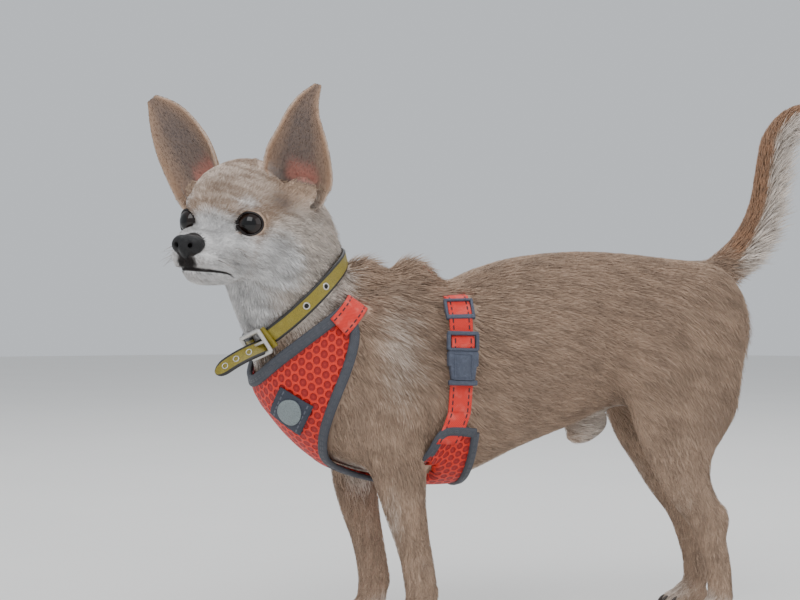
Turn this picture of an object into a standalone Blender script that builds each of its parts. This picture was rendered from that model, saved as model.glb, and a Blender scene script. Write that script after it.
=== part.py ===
"""A standing smooth-coated chihuahua in a padded harness and a leather collar, at life size.

Millimetres are used for every named size and turned into metres as each form is made.
The dog looks towards -X, its left side is towards -Y and +Z is up.
"""

import math

import bmesh
import bpy
import numpy as np
from mathutils import Matrix, Vector
from mathutils.bvhtree import BVHTree
from mathutils.geometry import barycentric_transform

MM = 0.001

# Driving sizes of the animal, millimetres
FORE_LEG_Y = 32.0
HIND_LEG_Y = 34.0
PART_GAP = 0.3
PAW_TOP = 24.0
HEAD_CUT = (-88.0, -14.0, 255.0)
HEAD_CUT_NORMAL = (-0.6, -0.1, 0.79)
TAIL_CUT = (227.0, 0.0, 236.0)
TAIL_CUT_NORMAL = (0.76, 0.0, 0.65)
BODY_VOXEL = 3.0
HEAD_VOXEL = 1.5
PAW_VOXEL = 1.25
BODY_BLEND = 16.0
HEAD_BLEND = 7.0
PAW_BLEND = 3.0

# The head's own frame: its origin is midway between the centres of the eyeballs
HEAD_ORIGIN = (-124.0, -36.0, 266.0)
HEAD_YAW = 43.0
HEAD_ROLL = 3.0
EYE_RADIUS = 9.2
EYE_SIDE = 21.3
EYE_TURN = 22.0
EYE_OPENING = (8.4, 7.7)
NOSE_CENTRE = (35.0, 0.0, -13.5)

# In the head's frame, 1 is the dog's left and -1 its right: where each ear stands, ends and faces
EAR_BASE = {1: (-30, 32, 23), -1: (-18, -32, 22)}
EAR_TIP = {1: (-38, 41, 87.7), -1: (-24.7, -76.5, 78.6)}
EAR_FACING = {1: (0.75, 0.6, 0.1), -1: (0.95, -0.05, 0.15)}
# By height on each ear: share, half width, depth of the cup and how far the row stands to the dog's left
EAR_ROWS = {
    1: [
        (-0.14, 17.0, 12.0, 0.5), (0.0, 19.5, 13.0, 0.5), (0.12, 21.5, 13.0, -0.3), (0.3, 20.2, 11.0, -2.5),
        (0.5, 15.3, 8.0, -3.7), (0.7, 9.8, 5.0, -5.7), (0.86, 5.8, 2.6, -4.4), (1.0, 1.9, 0.6, -0.8),
    ],
    -1: [
        (-0.14, 15.5, 12.0, -2.0), (0.0, 17.3, 13.0, -1.6), (0.12, 18.6, 13.0, -0.4), (0.3, 19.3, 11.0, 0.8),
        (0.5, 18.0, 8.0, 0.6), (0.7, 14.6, 5.0, 0.4), (0.86, 9.6, 2.8, -0.5), (1.0, 3.4, 0.8, -2.2),
    ],
}

# What it wears: strap widths, the planes that the straps lie in and the places of the small pieces
WEBBING = 15.0
STRAP_LIFT = 1.3
COLLAR_WIDTH = 11.5
COLLAR_NORMAL = (-0.69, 0.0, 0.72)
COLLAR_CENTRE = (-71.0, -10.0, 213.0)
NECK_STRAP_CENTRE = (-54.0, 0.0, 202.0)
GIRTH_CENTRE = (26.0, 0.0, 172.0)
GIRTH_NORMAL = (-1.0, 0.0, 0.05)
EDGING_ANGLE = 6.0
EDGING_GAP_ANGLE = 1.0
PATCH_PLACE = ((-40.0, 0.0, 182.0), (-0.76, -0.50, -0.62))
PATCH_SIZE = (26.0, 24.0)
PATCH_TURN = 30.0
BUCKLE_ANGLE = -155.0
KEEPER_ANGLE = -140.0
COLLAR_TAIL_START = np.array((-104.5, -28.6, 186.2))
COLLAR_TAIL_END = (-126.5, -21.3, 173.3)

# Down the tail: x, z and half width, then how many locks its fringe has and where the tail is parted
TAIL = [
    (212, 224, 11), (229, 238, 10), (247, 255, 8.5), (259, 279, 7.5), (264, 303, 7.5), (269, 327, 7.5),
    (283, 343, 7), (303, 349, 5.5), (326, 344, 1.5),
]
TAIL_LOCKS = 24
LOCK_WIDTH = 5.5
TAIL_MIDDLE_CUT = ((259.0, 0.0, 279.0), (0.36, 0.0, 0.93))
TAIL_TIP_CUT = ((271.0, 0.0, 331.0), (0.55, 0.0, 0.83))

# In the dog's frame, -1 is its left: how far each leg stands behind its middle place
FORE_SHIFT = {-1: 0.0, 1: -13.0}
HIND_SHIFT = {-1: 0.0, 1: 16.0}


def clear_scene():
    """Remove every object that the startup scene holds."""
    for obj in list(bpy.data.objects):
        bpy.data.objects.remove(obj, do_unlink=True)


def make_collection(name):
    """Make a collection under the scene's own."""
    made = bpy.data.collections.new(name)
    bpy.context.scene.collection.children.link(made)
    return made


clear_scene()
PARTS = make_collection("chihuahua")
FORMS = make_collection("forms")


def make_material(name, colour, roughness, metallic=0.0):
    """A plain Principled material."""
    material = bpy.data.materials.new(name)
    material.use_nodes = True
    shader = material.node_tree.nodes["Principled BSDF"]
    shader.inputs["Base Color"].default_value = (*colour, 1.0)
    shader.inputs["Roughness"].default_value = roughness
    shader.inputs["Metallic"].default_value = metallic
    return material


MATERIALS = {
    "coat": make_material("fawn coat", (0.50, 0.33, 0.20), 0.85),
    "nose": make_material("nose leather", (0.02, 0.018, 0.018), 0.35),
    "eye": make_material("eye", (0.02, 0.012, 0.01), 0.05),
    "mesh": make_material("red mesh", (0.80, 0.06, 0.03), 0.7),
    "trim": make_material("grey trim", (0.11, 0.12, 0.15), 0.8),
    "webbing": make_material("red webbing", (0.85, 0.08, 0.05), 0.6),
    "plastic": make_material("grey plastic", (0.13, 0.15, 0.20), 0.45),
    "leather": make_material("collar leather", (0.30, 0.24, 0.02), 0.5),
    "metal": make_material("nickel", (0.62, 0.60, 0.56), 0.25, 1.0),
}


def unit(vector):
    """The vector at length one."""
    vector = np.asarray(vector, float)
    return vector / np.linalg.norm(vector)


def smooth_rows(rows, steps):
    """Points on a Catmull-Rom curve through the rows, with steps between neighbours."""
    rows = np.asarray(rows, float)
    padded = np.vstack([2 * rows[0] - rows[1], rows, 2 * rows[-1] - rows[-2]])
    out = []
    for i in range(1, len(padded) - 2):
        before, here, there, after = padded[i - 1 : i + 3]
        for t in np.arange(steps) / steps:
            out.append(
                0.5
                * (
                    2 * here
                    + (there - before) * t
                    + (2 * before - 5 * here + 4 * there - after) * t**2
                    + (3 * here - before - 3 * there + after) * t**3
                )
            )
    out.append(rows[-1])
    return np.array(out)


def new_object(name, mesh, collection):
    """An object for a mesh, in a collection."""
    obj = bpy.data.objects.new(name, mesh)
    collection.objects.link(obj)
    return obj


def mesh_from_rings(name, rings, closed_path=False):
    """Skin rings of points into one closed mesh, with a fan over each end."""
    bm = bmesh.new()
    made = [[bm.verts.new(Vector(p) * MM) for p in ring] for ring in rings]
    count = len(made)
    pairs = [(i, i + 1) for i in range(count - 1)]
    if closed_path:
        pairs.append((count - 1, 0))
    for a, b in pairs:
        for j in range(len(made[a])):
            k = (j + 1) % len(made[a])
            bm.faces.new((made[a][j], made[a][k], made[b][k], made[b][j]))
    if not closed_path:
        for ring, points in ((made[0], rings[0]), (made[-1], rings[-1])):
            middle = bm.verts.new(Vector(np.mean(points, axis=0)) * MM)
            for j in range(len(ring)):
                bm.faces.new((ring[j], ring[(j + 1) % len(ring)], middle))
    bmesh.ops.recalc_face_normals(bm, faces=bm.faces)
    mesh = bpy.data.meshes.new(name)
    bm.to_mesh(mesh)
    bm.free()
    return mesh


def section(centre, side, top, half_width, rise, drop, square=2.0, sides=28):
    """One closed section: an oval with its own rise above and drop below the centre."""
    turn = np.linspace(0, 2 * math.pi, sides, endpoint=False)
    across = np.sign(np.cos(turn)) * np.abs(np.cos(turn)) ** (2 / square)
    up = np.sign(np.sin(turn)) * np.abs(np.sin(turn)) ** (2 / square)
    reach = np.where(up > 0, rise, drop)
    return (
        np.asarray(centre, float)
        + np.outer(across * half_width, side)
        + np.outer(up * reach, top)
    )


def barrel(name, stations, steps=3):
    """Loft upright sections along X. A station is x, y, top, bottom, half width, height of the widest, squareness."""
    rings = []
    for x, y, top, bottom, half_width, widest, square in smooth_rows(stations, steps):
        rings.append(
            section(
                (x, y, widest),
                (0, 1, 0),
                (0, 0, 1),
                half_width,
                top - widest,
                widest - bottom,
                square,
            )
        )
    return new_object(name, mesh_from_rings(name, rings), FORMS)


def limb(name, stations, side=(0, 1, 0), steps=3, square=2.0, sides=24):
    """Loft sections square to a path. A station is x, y, z, half width, reach on the top side, reach on the other."""
    rows = smooth_rows(stations, steps)
    path = rows[:, :3]
    rings = []
    for i, row in enumerate(rows):
        along = unit(path[min(i + 1, len(path) - 1)] - path[max(i - 1, 0)])
        top = unit(np.cross(along, side))
        across = unit(np.cross(top, along))
        rings.append(section(row[:3], across, top, row[3], row[4], row[5], square, sides))
    return new_object(name, mesh_from_rings(name, rings), FORMS)


def ellipsoid(name, centre, radii, turn=(0, 0, 0), frame=None, sides=28):
    """A sphere stretched to three radii and turned, in the dog's frame or in another one."""
    bm = bmesh.new()
    bmesh.ops.create_uvsphere(bm, u_segments=sides, v_segments=sides * 2 // 3, radius=1.0)
    mesh = bpy.data.meshes.new(name)
    bm.to_mesh(mesh)
    bm.free()
    spin = Matrix.Rotation(math.radians(turn[2]), 4, "Z")
    spin @= Matrix.Rotation(math.radians(turn[1]), 4, "Y")
    spin @= Matrix.Rotation(math.radians(turn[0]), 4, "X")
    place = Matrix.Translation(Vector(centre) * MM) @ spin
    place @= Matrix.Diagonal((*(Vector(radii) * MM), 1.0))
    mesh.transform((frame or Matrix.Identity(4)) @ place)
    return new_object(name, mesh, FORMS)


def tree_of(obj):
    """A search tree over the object's surface, with the corners and corner normals of its triangles."""
    bm = bmesh.new()
    bm.from_mesh(obj.data)
    bmesh.ops.triangulate(bm, faces=bm.faces)
    bm.normal_update()
    tree = BVHTree.FromBMesh(bm)
    corners = [[v.co.copy() for v in face.verts] for face in bm.faces]
    normals = [[v.normal.copy() for v in face.verts] for face in bm.faces]
    bm.free()
    return tree, corners, normals


def signed_distance(found, point):
    """Distance from a closed surface, negative inside, and the direction away from it."""
    tree, corners, normals = found
    near, normal, index, gap = tree.find_nearest(point)
    if gap < 1e-7:
        return 0.0, normal
    away = (point - near) / gap
    if gap > 0.5 * MM:
        # At a rim the flat normal can point the wrong way, so the corners' normals are blended there.
        normal = barycentric_transform(near, *corners[index], *normals[index])
    return (-gap, -away) if away.dot(normal) < 0 else (gap, away)


def active_only(obj):
    """Select one object and make it active."""
    bpy.ops.object.select_all(action="DESELECT")
    obj.select_set(True)
    bpy.context.view_layer.objects.active = obj


def apply_modifier(obj, kind, **settings):
    """Add a modifier with these settings and apply it."""
    modifier = obj.modifiers.new(kind.lower(), kind)
    for name, value in settings.items():
        setattr(modifier, name, value)
    active_only(obj)
    bpy.ops.object.modifier_apply(modifier=modifier.name)


def implicit(forms):
    """The signed distance to a filleted union of forms. Each item is a form and its own blend radius."""
    found = [(tree_of(form), radius * MM) for form, radius in forms]

    def distance(point):
        near = sorted(((*signed_distance(tree, point), radius) for tree, radius in found), key=lambda i: i[0])
        first, second = near[0], near[1]
        radius = min(first[2], second[2])
        share = max(radius - (second[0] - first[0]), 0.0) / radius
        away = first[1].lerp(second[1], share / 2)
        return first[0] - share * share * radius / 4, away.normalized()

    return distance


def grow(name, forms, voxel, passes=3):
    """A closed mesh on the filleted union of the forms."""
    bm = bmesh.new()
    for form, _ in forms:
        bm.from_mesh(form.data)
    mesh = bpy.data.meshes.new(name)
    bm.to_mesh(mesh)
    bm.free()
    obj = new_object(name, mesh, FORMS)
    apply_modifier(obj, "REMESH", mode="VOXEL", voxel_size=voxel * MM)
    distance = implicit(forms)
    for _ in range(passes):
        for vertex in obj.data.vertices:
            gap, away = distance(vertex.co)
            vertex.co -= away * gap
        apply_modifier(obj, "SMOOTH", factor=0.5, iterations=1)
    return obj


def thin_out(obj, triangles):
    """Reduce a mesh to about this many triangles."""
    count = sum(len(face.vertices) - 2 for face in obj.data.polygons)
    if count > triangles:
        apply_modifier(obj, "DECIMATE", ratio=triangles / count)


def box(name, low, high, frame=None):
    """A box between two corners, in the dog's frame or in another one."""
    low, high = Vector(low) * MM, Vector(high) * MM
    bm = bmesh.new()
    bmesh.ops.create_cube(bm, size=1.0)
    place = Matrix.Translation((low + high) / 2) @ Matrix.Diagonal((*(high - low), 1.0))
    bmesh.ops.transform(bm, matrix=(frame or Matrix.Identity(4)) @ place, verts=bm.verts)
    mesh = bpy.data.meshes.new(name)
    bm.to_mesh(mesh)
    bm.free()
    return new_object(name, mesh, FORMS)


def copy_of(obj, name):
    """A copy with a mesh of its own, among the forms."""
    return new_object(name, obj.data.copy(), FORMS)


def combine(obj, other, operation):
    """Apply a Boolean of obj with another object, and keep the largest closed surface."""
    apply_modifier(obj, "BOOLEAN", object=other, operation=operation, solver="EXACT")
    keep_largest(obj)


def islands(bm):
    """The sets of faces that hang together."""
    left = set(bm.faces)
    while left:
        stack = [left.pop()]
        island = set(stack)
        while stack:
            for edge in stack.pop().edges:
                for face in edge.link_faces:
                    if face in left:
                        left.remove(face)
                        island.add(face)
                        stack.append(face)
        yield island


def keep_largest(obj):
    """Drop every loose scrap and sealed hollow, and keep the surface that holds the most."""
    bm = bmesh.new()
    bm.from_mesh(obj.data)
    found = list(islands(bm))
    if len(found) > 1:
        def held(island):
            return sum(
                face.verts[0].co.dot(face.verts[i].co.cross(face.verts[i + 1].co))
                for face in island
                for i in range(1, len(face.verts) - 1)
            )

        largest = max(found, key=held)
        drop = [face for face in bm.faces if face not in largest]
        bmesh.ops.delete(bm, geom=drop, context="FACES")
        loose = [v for v in bm.verts if not v.link_faces]
        bmesh.ops.delete(bm, geom=loose, context="VERTS")
    bm.to_mesh(obj.data)
    bm.free()


def facing_frame(point, normal, along=(0, 1, 0)):
    """A frame at a point whose Z axis is the normal and whose Y axis lies near another direction."""
    z = unit(normal)
    x = unit(np.cross(along, z))
    y = np.cross(z, x)
    frame = Matrix.Identity(4)
    for column, axis in enumerate((x, y, z)):
        for row in range(3):
            frame[row][column] = axis[row]
    return Matrix.Translation(Vector(point) * MM) @ frame


def part_off(whole, name, low, high, frame=None):
    """Take what a box holds off a whole as its own piece, leaving a thin gap."""
    piece = copy_of(whole, name)
    inside = box(name + " keep", low, high, frame)
    combine(piece, inside, "INTERSECT")
    wide_low = np.asarray(low, float) - PART_GAP
    wide_high = np.asarray(high, float) + PART_GAP
    combine(whole, box(name + " cut", wide_low, wide_high, frame), "DIFFERENCE")
    return piece


def finished(obj, name, material):
    """Make a form one of the dog's parts."""
    if name in bpy.data.objects:
        bpy.data.objects[name].name = name + " form"
    FORMS.objects.unlink(obj)
    PARTS.objects.link(obj)
    obj.name = name
    obj.data.name = name
    obj.data.materials.clear()
    obj.data.materials.append(MATERIALS[material])
    obj.data.shade_smooth()
    return obj


HEAD_FRAME = Matrix.Translation(Vector(HEAD_ORIGIN) * MM)
HEAD_FRAME @= Matrix.Rotation(math.radians(180 + HEAD_YAW), 4, "Z")
HEAD_FRAME @= Matrix.Rotation(math.radians(-HEAD_ROLL), 4, "X")


def head_point(point):
    """A point of the head's own frame in the dog's frame."""
    return np.array(HEAD_FRAME @ (Vector(point) * MM)) / MM


def torso_forms():
    """Rib cage, loin, rump, withers, nape and the muscles over the limbs' roots."""
    stations = [
        (-93, 0, 184, 160, 10, 172, 2.0),
        (-85, 0, 200, 148, 25, 172, 2.0),
        (-66, 0, 216, 127, 36, 168, 2.0),
        (-40, 0, 228, 111, 42, 165, 2.0),
        (-8, 0, 236, 103, 45, 162, 2.1),
        (28, 0, 230, 100, 47, 166, 2.2),
        (52, 0, 238, 108, 48, 172, 2.2),
        (76, 0, 245, 119, 48, 178, 2.2),
        (112, 0, 249, 132, 44, 190, 2.2),
        (145, 0, 249, 144, 38, 200, 2.2),
        (180, 0, 246, 148, 36, 202, 2.1),
        (210, 0, 241, 152, 33, 200, 2.0),
        (230, 0, 224, 162, 22, 194, 2.0),
        (240, 0, 204, 174, 8, 190, 2.0),
    ]
    forms = [(barrel("barrel", stations), BODY_BLEND)]
    forms.append((ellipsoid("withers", (7, 0, 222), (19, 20, 23)), 8.0))
    forms.append((ellipsoid("nape hump", (-27, -2, 224), (19, 21, 21)), 10.0))
    forms.append((ellipsoid("sheath", (131, 0, 131), (17, 8, 9), (0, -28, 0)), 7.0))
    for side in (-1, 1):
        forms.append((ellipsoid("shoulder", (-26, side * 28, 178), (25, 17, 46), (0, 20, 0)), BODY_BLEND))
        forms.append((ellipsoid("upper arm", (-24, side * 31, 138), (25, 14, 24), (0, -25, 0)), BODY_BLEND))
        forms.append((ellipsoid("haunch", (205, side * 20, 196), (34, 18, 44), (0, 12, 0)), BODY_BLEND))
    return forms


def neck_form():
    """The neck, from deep in the chest to the back of the skull."""
    stations = [
        (-14, 0, 162, 38, 52, 50),
        (-45, -4, 188, 38, 45, 42),
        (-71, -10, 213, 35, 38, 37),
        (-84, -13, 241, 33, 36, 41),
        (-91, -15, 264, 29, 32, 40),
        (-96, -17, 282, 22, 22, 30),
    ]
    return limb("neck", stations)


def ear_boss(side):
    """The middle of the swelling behind the foot of an ear."""
    return np.array(EAR_BASE[side]) - unit(EAR_FACING[side]) * 8 + (-1, side * 4, -2)


def head_forms():
    """Skull, brows, cheeks, muzzle, jaw, lids and the bosses that carry the ears."""
    frame = HEAD_FRAME
    forms = [
        (ellipsoid("cranium", (-24, 0, 7), (38.5, 33.5, 33.5), frame=frame), HEAD_BLEND),
        (ellipsoid("forehead", (-5, 0, 14), (19, 22, 19), frame=frame), HEAD_BLEND),
        (ellipsoid("bridge", (16, 0, -13), (22, 11.5, 9), (0, 8, 0), frame), HEAD_BLEND),
        (ellipsoid("muzzle tip", (27, 0, -20), (10.5, 13.5, 12), frame=frame), HEAD_BLEND),
        (ellipsoid("chin", (20, 0, -31.5), (11, 9.5, 5.5), frame=frame), 4.0),
        (ellipsoid("jaw", (2, 0, -28), (28, 16, 10), (0, 4, 0), frame), HEAD_BLEND),
    ]
    for side in (-1, 1):
        eye = (0, side * EYE_SIDE, 0)
        forms += [
            (ellipsoid("flew", (18, side * 8.2, -21), (16, 9.2, 9.5), frame=frame), 5.0),
            (ellipsoid("cheek", (-18, side * 20, -15), (27, 14, 19), frame=frame), 10.0),
            (ellipsoid("under eye", (4, side * 16, -12), (18, 10, 9), frame=frame), 10.0),
            (ellipsoid("brow", (1, side * 15, 11), (11, 10, 7), frame=frame), 5.0),
            (ellipsoid("lid", eye, (EYE_RADIUS + 1.7,) * 3, frame=frame), 4.0),
            (ellipsoid("ear boss", ear_boss(side), (14, 14, 15), frame=frame), HEAD_BLEND),
        ]
    return forms


def leg_forms(which, side):
    """A leg's lofted length, without its paw."""
    if which == "fore":
        shift = FORE_SHIFT[side]
        fade = (100, 150)
        stations = [
            (-20, 28, 150, 13, 20, 22),
            (-13, 30, 125, 13, 18, 19),
            (-9.5, 31, 105, 12, 17, 17),
            (-6.5, 32, 86, 10.5, 14, 14),
            (-1, 32, 63, 8.6, 11, 11),
            (2.5, 32, 47, 8.4, 10.5, 10.5),
            (4, 32, 31, 8, 10.5, 10),
            (3, 32, 14, 8, 9, 10),
        ]
    else:
        shift = HIND_SHIFT[side]
        fade = (110, 185)
        stations = [
            (192, 22, 205, 17, 32, 34),
            (188, 27, 178, 19, 41, 42),
            (186, 30, 152, 18, 42, 38),
            (184, 32, 130, 15, 34, 31),
            (185, 34, 112, 12, 24, 23),
            (191, 35, 93, 9.5, 15, 17),
            (202, 35, 72, 8.5, 13, 12),
            (208, 35, 54, 7.6, 9, 10),
            (212, 35, 36, 7.4, 8.5, 8.5),
            (214, 35, 16, 8, 8, 9),
        ]
    moved = []
    for x, y, z, *rest in stations:
        share = 1 - min(max((z - fade[0]) / (fade[1] - fade[0]), 0), 1)
        moved.append((x + shift * share, side * y, z, *rest))
    forms = [(limb(which + " leg", moved), BODY_BLEND if which == "hind" else 12.0)]
    x = moved[-1][0]
    y = moved[-1][1]
    if which == "fore":
        forms.append((ellipsoid("carpal pad", (x + 9, y, 31), (5, 4.5, 5)), 4.0))
    else:
        forms.append((ellipsoid("point of hock", (x - 1, y, 71), (6, 5.5, 9)), 6.0))
    return forms


def paw_forms(which, side):
    """Pads and four toes, flat where they meet the ground, and where the toes are."""
    shift = FORE_SHIFT[side] if which == "fore" else HIND_SHIFT[side]
    x = (3 if which == "fore" else 214) + shift
    y = side * (FORE_LEG_Y if which == "fore" else HIND_LEG_Y + 1)
    forms = [
        (ellipsoid("paw", (x - 5, y, 9), (13, 9.5, 9)), PAW_BLEND + 2),
        (ellipsoid("heel pad", (x + 1, y, 4.6), (8, 7.5, 6)), PAW_BLEND),
    ]
    toes = [(x - 3 - ahead, y + offset, 5.3) for offset, ahead in ((-7.4, 11), (-2.6, 16), (2.6, 16), (7.4, 11))]
    for toe in toes:
        forms.append((ellipsoid("toe", toe, (7, 3.6, 6.2), (0, -14, 0)), 1.6))
    return forms, toes


def tail_form(name, reach_front, reach_back):
    """The tail, rising from the croup and curling back at its tip."""
    stations = [(x, 0, z, g, g * reach_front, g * reach_back) for x, z, g in TAIL]
    return limb(name, stations, steps=4, sides=16)


def claw(toe):
    """A claw with its root inside the front of a toe."""
    x, y, z = toe
    stations = [(x - 4.0, y, z + 1.6, 1.3, 1.5, 1.5), (x - 7.4, y, z - 0.4, 1.1, 1.2, 1.2), (x - 9.6, y, 1.3, 0.4, 0.5, 0.5)]
    return limb("claw", stations, steps=1, sides=5)


def lock(root, way, length, width):
    """A flat lock of hair, thin crosswise to the body, that narrows to its tip."""
    way = unit(way)
    across = unit(np.cross((0, 1, 0), way))
    rings = []
    for share, wide, thick in ((0, 0.8, 1.3), (0.45, 1.0, 1.0), (1.0, 0.12, 0.3)):
        centre = root + way * (length * share)
        corners = ((wide * width / 2, 0), (0, thick), (-wide * width / 2, 0), (0, -thick))
        rings.append([centre + across * a + np.array((0, b, 0)) for a, b in corners])
    return new_object("lock", mesh_from_rings("lock", rings), FORMS)


def tail_locks():
    """The fringe down the back of the tail, by height: where each lock stands on the path, and the lock."""
    rng = np.random.default_rng(3)
    rows = smooth_rows(TAIL, 6)
    out = []
    for i, share in enumerate(np.linspace(0.14, 0.98, TAIL_LOCKS)):
        index = share * (len(rows) - 1)
        x, z, girth = rows[int(index)] + (rows[min(int(index) + 1, len(rows) - 1)] - rows[int(index)]) * (index % 1)
        step = rows[min(int(index) + 1, len(rows) - 1)] - rows[max(int(index) - 1, 0)]
        along = unit((step[0], 0, step[1]))
        back = np.array((along[2], 0, -along[0]))
        side = (-1, 0.2, 1)[i % 3] * min(girth, 6) * 0.45
        root = np.array((x, side, z)) + back * girth * 0.7
        way = along * 0.8 + back * rng.uniform(0.5, 0.7) + np.array((0, side * 0.02, 0))
        length = rng.uniform(17, 21) * (0.75 + 0.25 * math.sin(math.pi * share))
        out.append(((x, z), lock(root, way, length, LOCK_WIDTH)))
    return out


def joined(obj, others):
    """Unite a node with the closed forms that grow from it, in one Boolean."""
    grown = make_collection("grown")
    for other in others:
        FORMS.objects.unlink(other)
        grown.objects.link(other)
    apply_modifier(
        obj, "BOOLEAN", operand_type="COLLECTION", collection=grown, operation="UNION", solver="EXACT"
    )
    keep_largest(obj)
    for other in list(grown.objects):
        bpy.data.objects.remove(other, do_unlink=True)
    bpy.data.collections.remove(grown)


def ear_grid(side, filled=False, extra=0.0):
    """Rows of points over an ear, from its base to its tip, concave towards the side it faces."""
    base = np.array(EAR_BASE[side], float)
    tip = np.array(EAR_TIP[side], float)
    axis = unit(tip - base)
    facing = np.array(EAR_FACING[side], float)
    facing = unit(facing - axis * facing.dot(axis))
    across = np.cross(axis, facing)
    length = np.linalg.norm(tip - base)
    profile = smooth_rows(EAR_ROWS[side], 2)
    open_angle = math.radians(78)
    rows = []
    for share, half, depth, sway in profile:
        turn = np.linspace(-open_angle, open_angle, 9)
        wide = (half + extra) * np.sin(turn) / math.sin(open_angle)
        back = (depth + extra) * (np.cos(turn) - math.cos(open_angle)) / (1 - math.cos(open_angle))
        centre = base + axis * (length * share) + across * sway
        row = centre + np.outer(wide, across) - np.outer(back, facing)
        if filled:
            row = np.vstack([row, centre + np.outer(wide[::-3], across) + facing * (2 + extra)])
        rows.append(row)
    return np.array(rows), facing


def grid_mesh(name, grid):
    """A mesh over a grid of points."""
    bm = bmesh.new()
    made = [[bm.verts.new(Vector(p) * MM) for p in row] for row in grid]
    for a, b in zip(made, made[1:]):
        for j in range(len(a) - 1):
            bm.faces.new((a[j], b[j], b[j + 1], a[j + 1]))
    mesh = bpy.data.meshes.new(name)
    bm.to_mesh(mesh)
    bm.free()
    return mesh


def turn_outwards(mesh, tree):
    """Turn a sheet's faces so that they look away from the body below."""
    face = mesh.polygons[len(mesh.polygons) // 2]
    _, normal, _, _ = tree.find_nearest(face.center)
    if face.normal.dot(normal) < 0:
        mesh.flip_normals()


def shell(name, grid, thickness, offset=1.0, tree=None):
    """A closed shell over a grid of points, thickened away from the body where one is given."""
    obj = new_object(name, grid_mesh(name, grid), FORMS)
    if tree:
        turn_outwards(obj.data, tree)
    apply_modifier(obj, "SOLIDIFY", thickness=thickness * MM, offset=offset, use_even_offset=True)
    bm = bmesh.new()
    bm.from_mesh(obj.data)
    bmesh.ops.recalc_face_normals(bm, faces=bm.faces)
    bm.to_mesh(obj.data)
    bm.free()
    return obj


def surface_grid(tree, starts, ways, lift):
    """Where rays from inside the body leave it, lifted off its surface by one lift or by one for each row."""
    grid = []
    for start_row, way_row, high in zip(starts, ways, np.broadcast_to(lift, len(starts))):
        row = []
        for start, way in zip(start_row, way_row):
            way = Vector(unit(way))
            hit, normal, _, _ = tree.ray_cast(Vector(start) * MM, way)
            if normal.dot(way) < 0:
                normal = -normal
            row.append(np.array(hit + normal * (high * MM)) / MM)
        grid.append(row)
    return np.array(grid)


def relaxed(tree, grid, lift, rounds=3):
    """A grid with its bumps evened out, kept at least a lift clear of the surface below."""
    for _ in range(rounds):
        smooth = grid.copy()
        smooth[1:-1] = (grid[:-2] + 2 * grid[1:-1] + grid[2:]) / 4
        for row in smooth:
            for j, point in enumerate(row):
                near, normal, _, _ = tree.find_nearest(Vector(point) * MM)
                gap = (Vector(point) - near / MM).dot(normal)
                row[j] = point + np.array(normal) * max(lift - gap, 0)
        grid = smooth
    return grid


def ring_strap(name, tree, centre, normal, first, last, width, thickness, lift, steps):
    """A strap round a limb or trunk, between two angles of a ring about a centre."""
    normal = unit(normal)
    out = unit(np.cross((0, 1, 0), normal))
    side = np.cross(normal, out)
    starts, ways = [], []
    for angle in np.radians(np.linspace(first, last, steps)):
        way = out * math.cos(angle) + side * math.sin(angle)
        starts.append([np.asarray(centre) + normal * (width * (share - 0.5)) for share in (0, 0.5, 1)])
        ways.append([way] * 3)
    grid = surface_grid(tree, starts, ways, lift)
    return shell(name, grid, thickness, tree=tree)


def vest_grid(tree, rows, lift):
    """Points of the chest vest. Rows run from the neckline to the girth, columns from the left edge to the right.

    The two outermost columns of each side bound its edging, and the next one starts the panel.
    """
    spine = smooth_rows([(-62, 204), (-33, 174), (-6, 152), (17, 144), (36, 143)], 10)
    reach = smooth_rows(
        [(0, 108), (0.12, 84), (0.23, 54), (0.32, 32), (0.4, 17), (0.68, 15), (0.78, 30), (0.87, 62), (1, 81)], 8
    )
    starts, ways = [], []
    for row in rows:
        place = row * (len(spine) - 1)
        i = min(int(place), len(spine) - 2)
        x, z = spine[i] + (spine[i + 1] - spine[i]) * (place - i)
        along = spine[min(i + 2, len(spine) - 1)] - spine[max(i - 1, 0)]
        down = unit((-abs(along[1]), 0, -along[0]))
        half = np.interp(row, reach[:, 0], reach[:, 1])
        inner = half - EDGING_ANGLE
        panel = inner - EDGING_GAP_ANGLE
        angles = [half, inner, *np.linspace(panel, -panel, 11), -inner, -half]
        angles = [math.radians(angle) for angle in angles]
        starts.append([(x, 0, z)] * len(angles))
        ways.append([down * math.cos(a) + np.array((0, 1, 0)) * math.sin(a) for a in angles])
    return relaxed(tree, surface_grid(tree, starts, ways, lift), lift)


def facing_plate(tree, name, start, way, size, lift, turn=0.0, along=(0, 1, 0)):
    """A frame whose Z axis stands off the body where a ray from inside leaves it."""
    start, way = Vector(start) * MM, Vector(unit(way))
    hits = []
    for step in np.vstack([np.zeros((1, 3)), np.eye(3), -np.eye(3)]) * 8 * MM:
        hits.append(tree.ray_cast(start + Vector(step), way))
    normal = sum((hit[1] for hit in hits), Vector()).normalized()
    point = np.array(hits[0][0] + normal * (lift * MM)) / MM
    frame = facing_frame(point, normal, along)
    frame @= Matrix.Rotation(math.radians(turn), 4, "Z")
    wide, high, thick = size
    return box(name, (-wide / 2, -high / 2, 0), (wide / 2, high / 2, thick), frame), frame


def patch_grid(tree, start, way, size, lift, turn):
    """Points of a small rectangle laid over the body where a ray from inside leaves it."""
    frame = facing_plate(tree, "patch guide", start, way, (1, 1, 1), 30.0, turn)[1]
    grid = []
    inward = -Vector(frame.col[2][:3])
    for a in np.linspace(-0.5, 0.5, 7):
        row = []
        for b in np.linspace(-0.5, 0.5, 6):
            corner = frame @ Vector((b * size[0] * MM, a * size[1] * MM, 0))
            hit, normal, _, _ = tree.ray_cast(corner, inward)
            row.append(np.array(hit + normal * (lift * MM)) / MM)
        grid.append(row)
    return np.array(grid)


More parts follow.
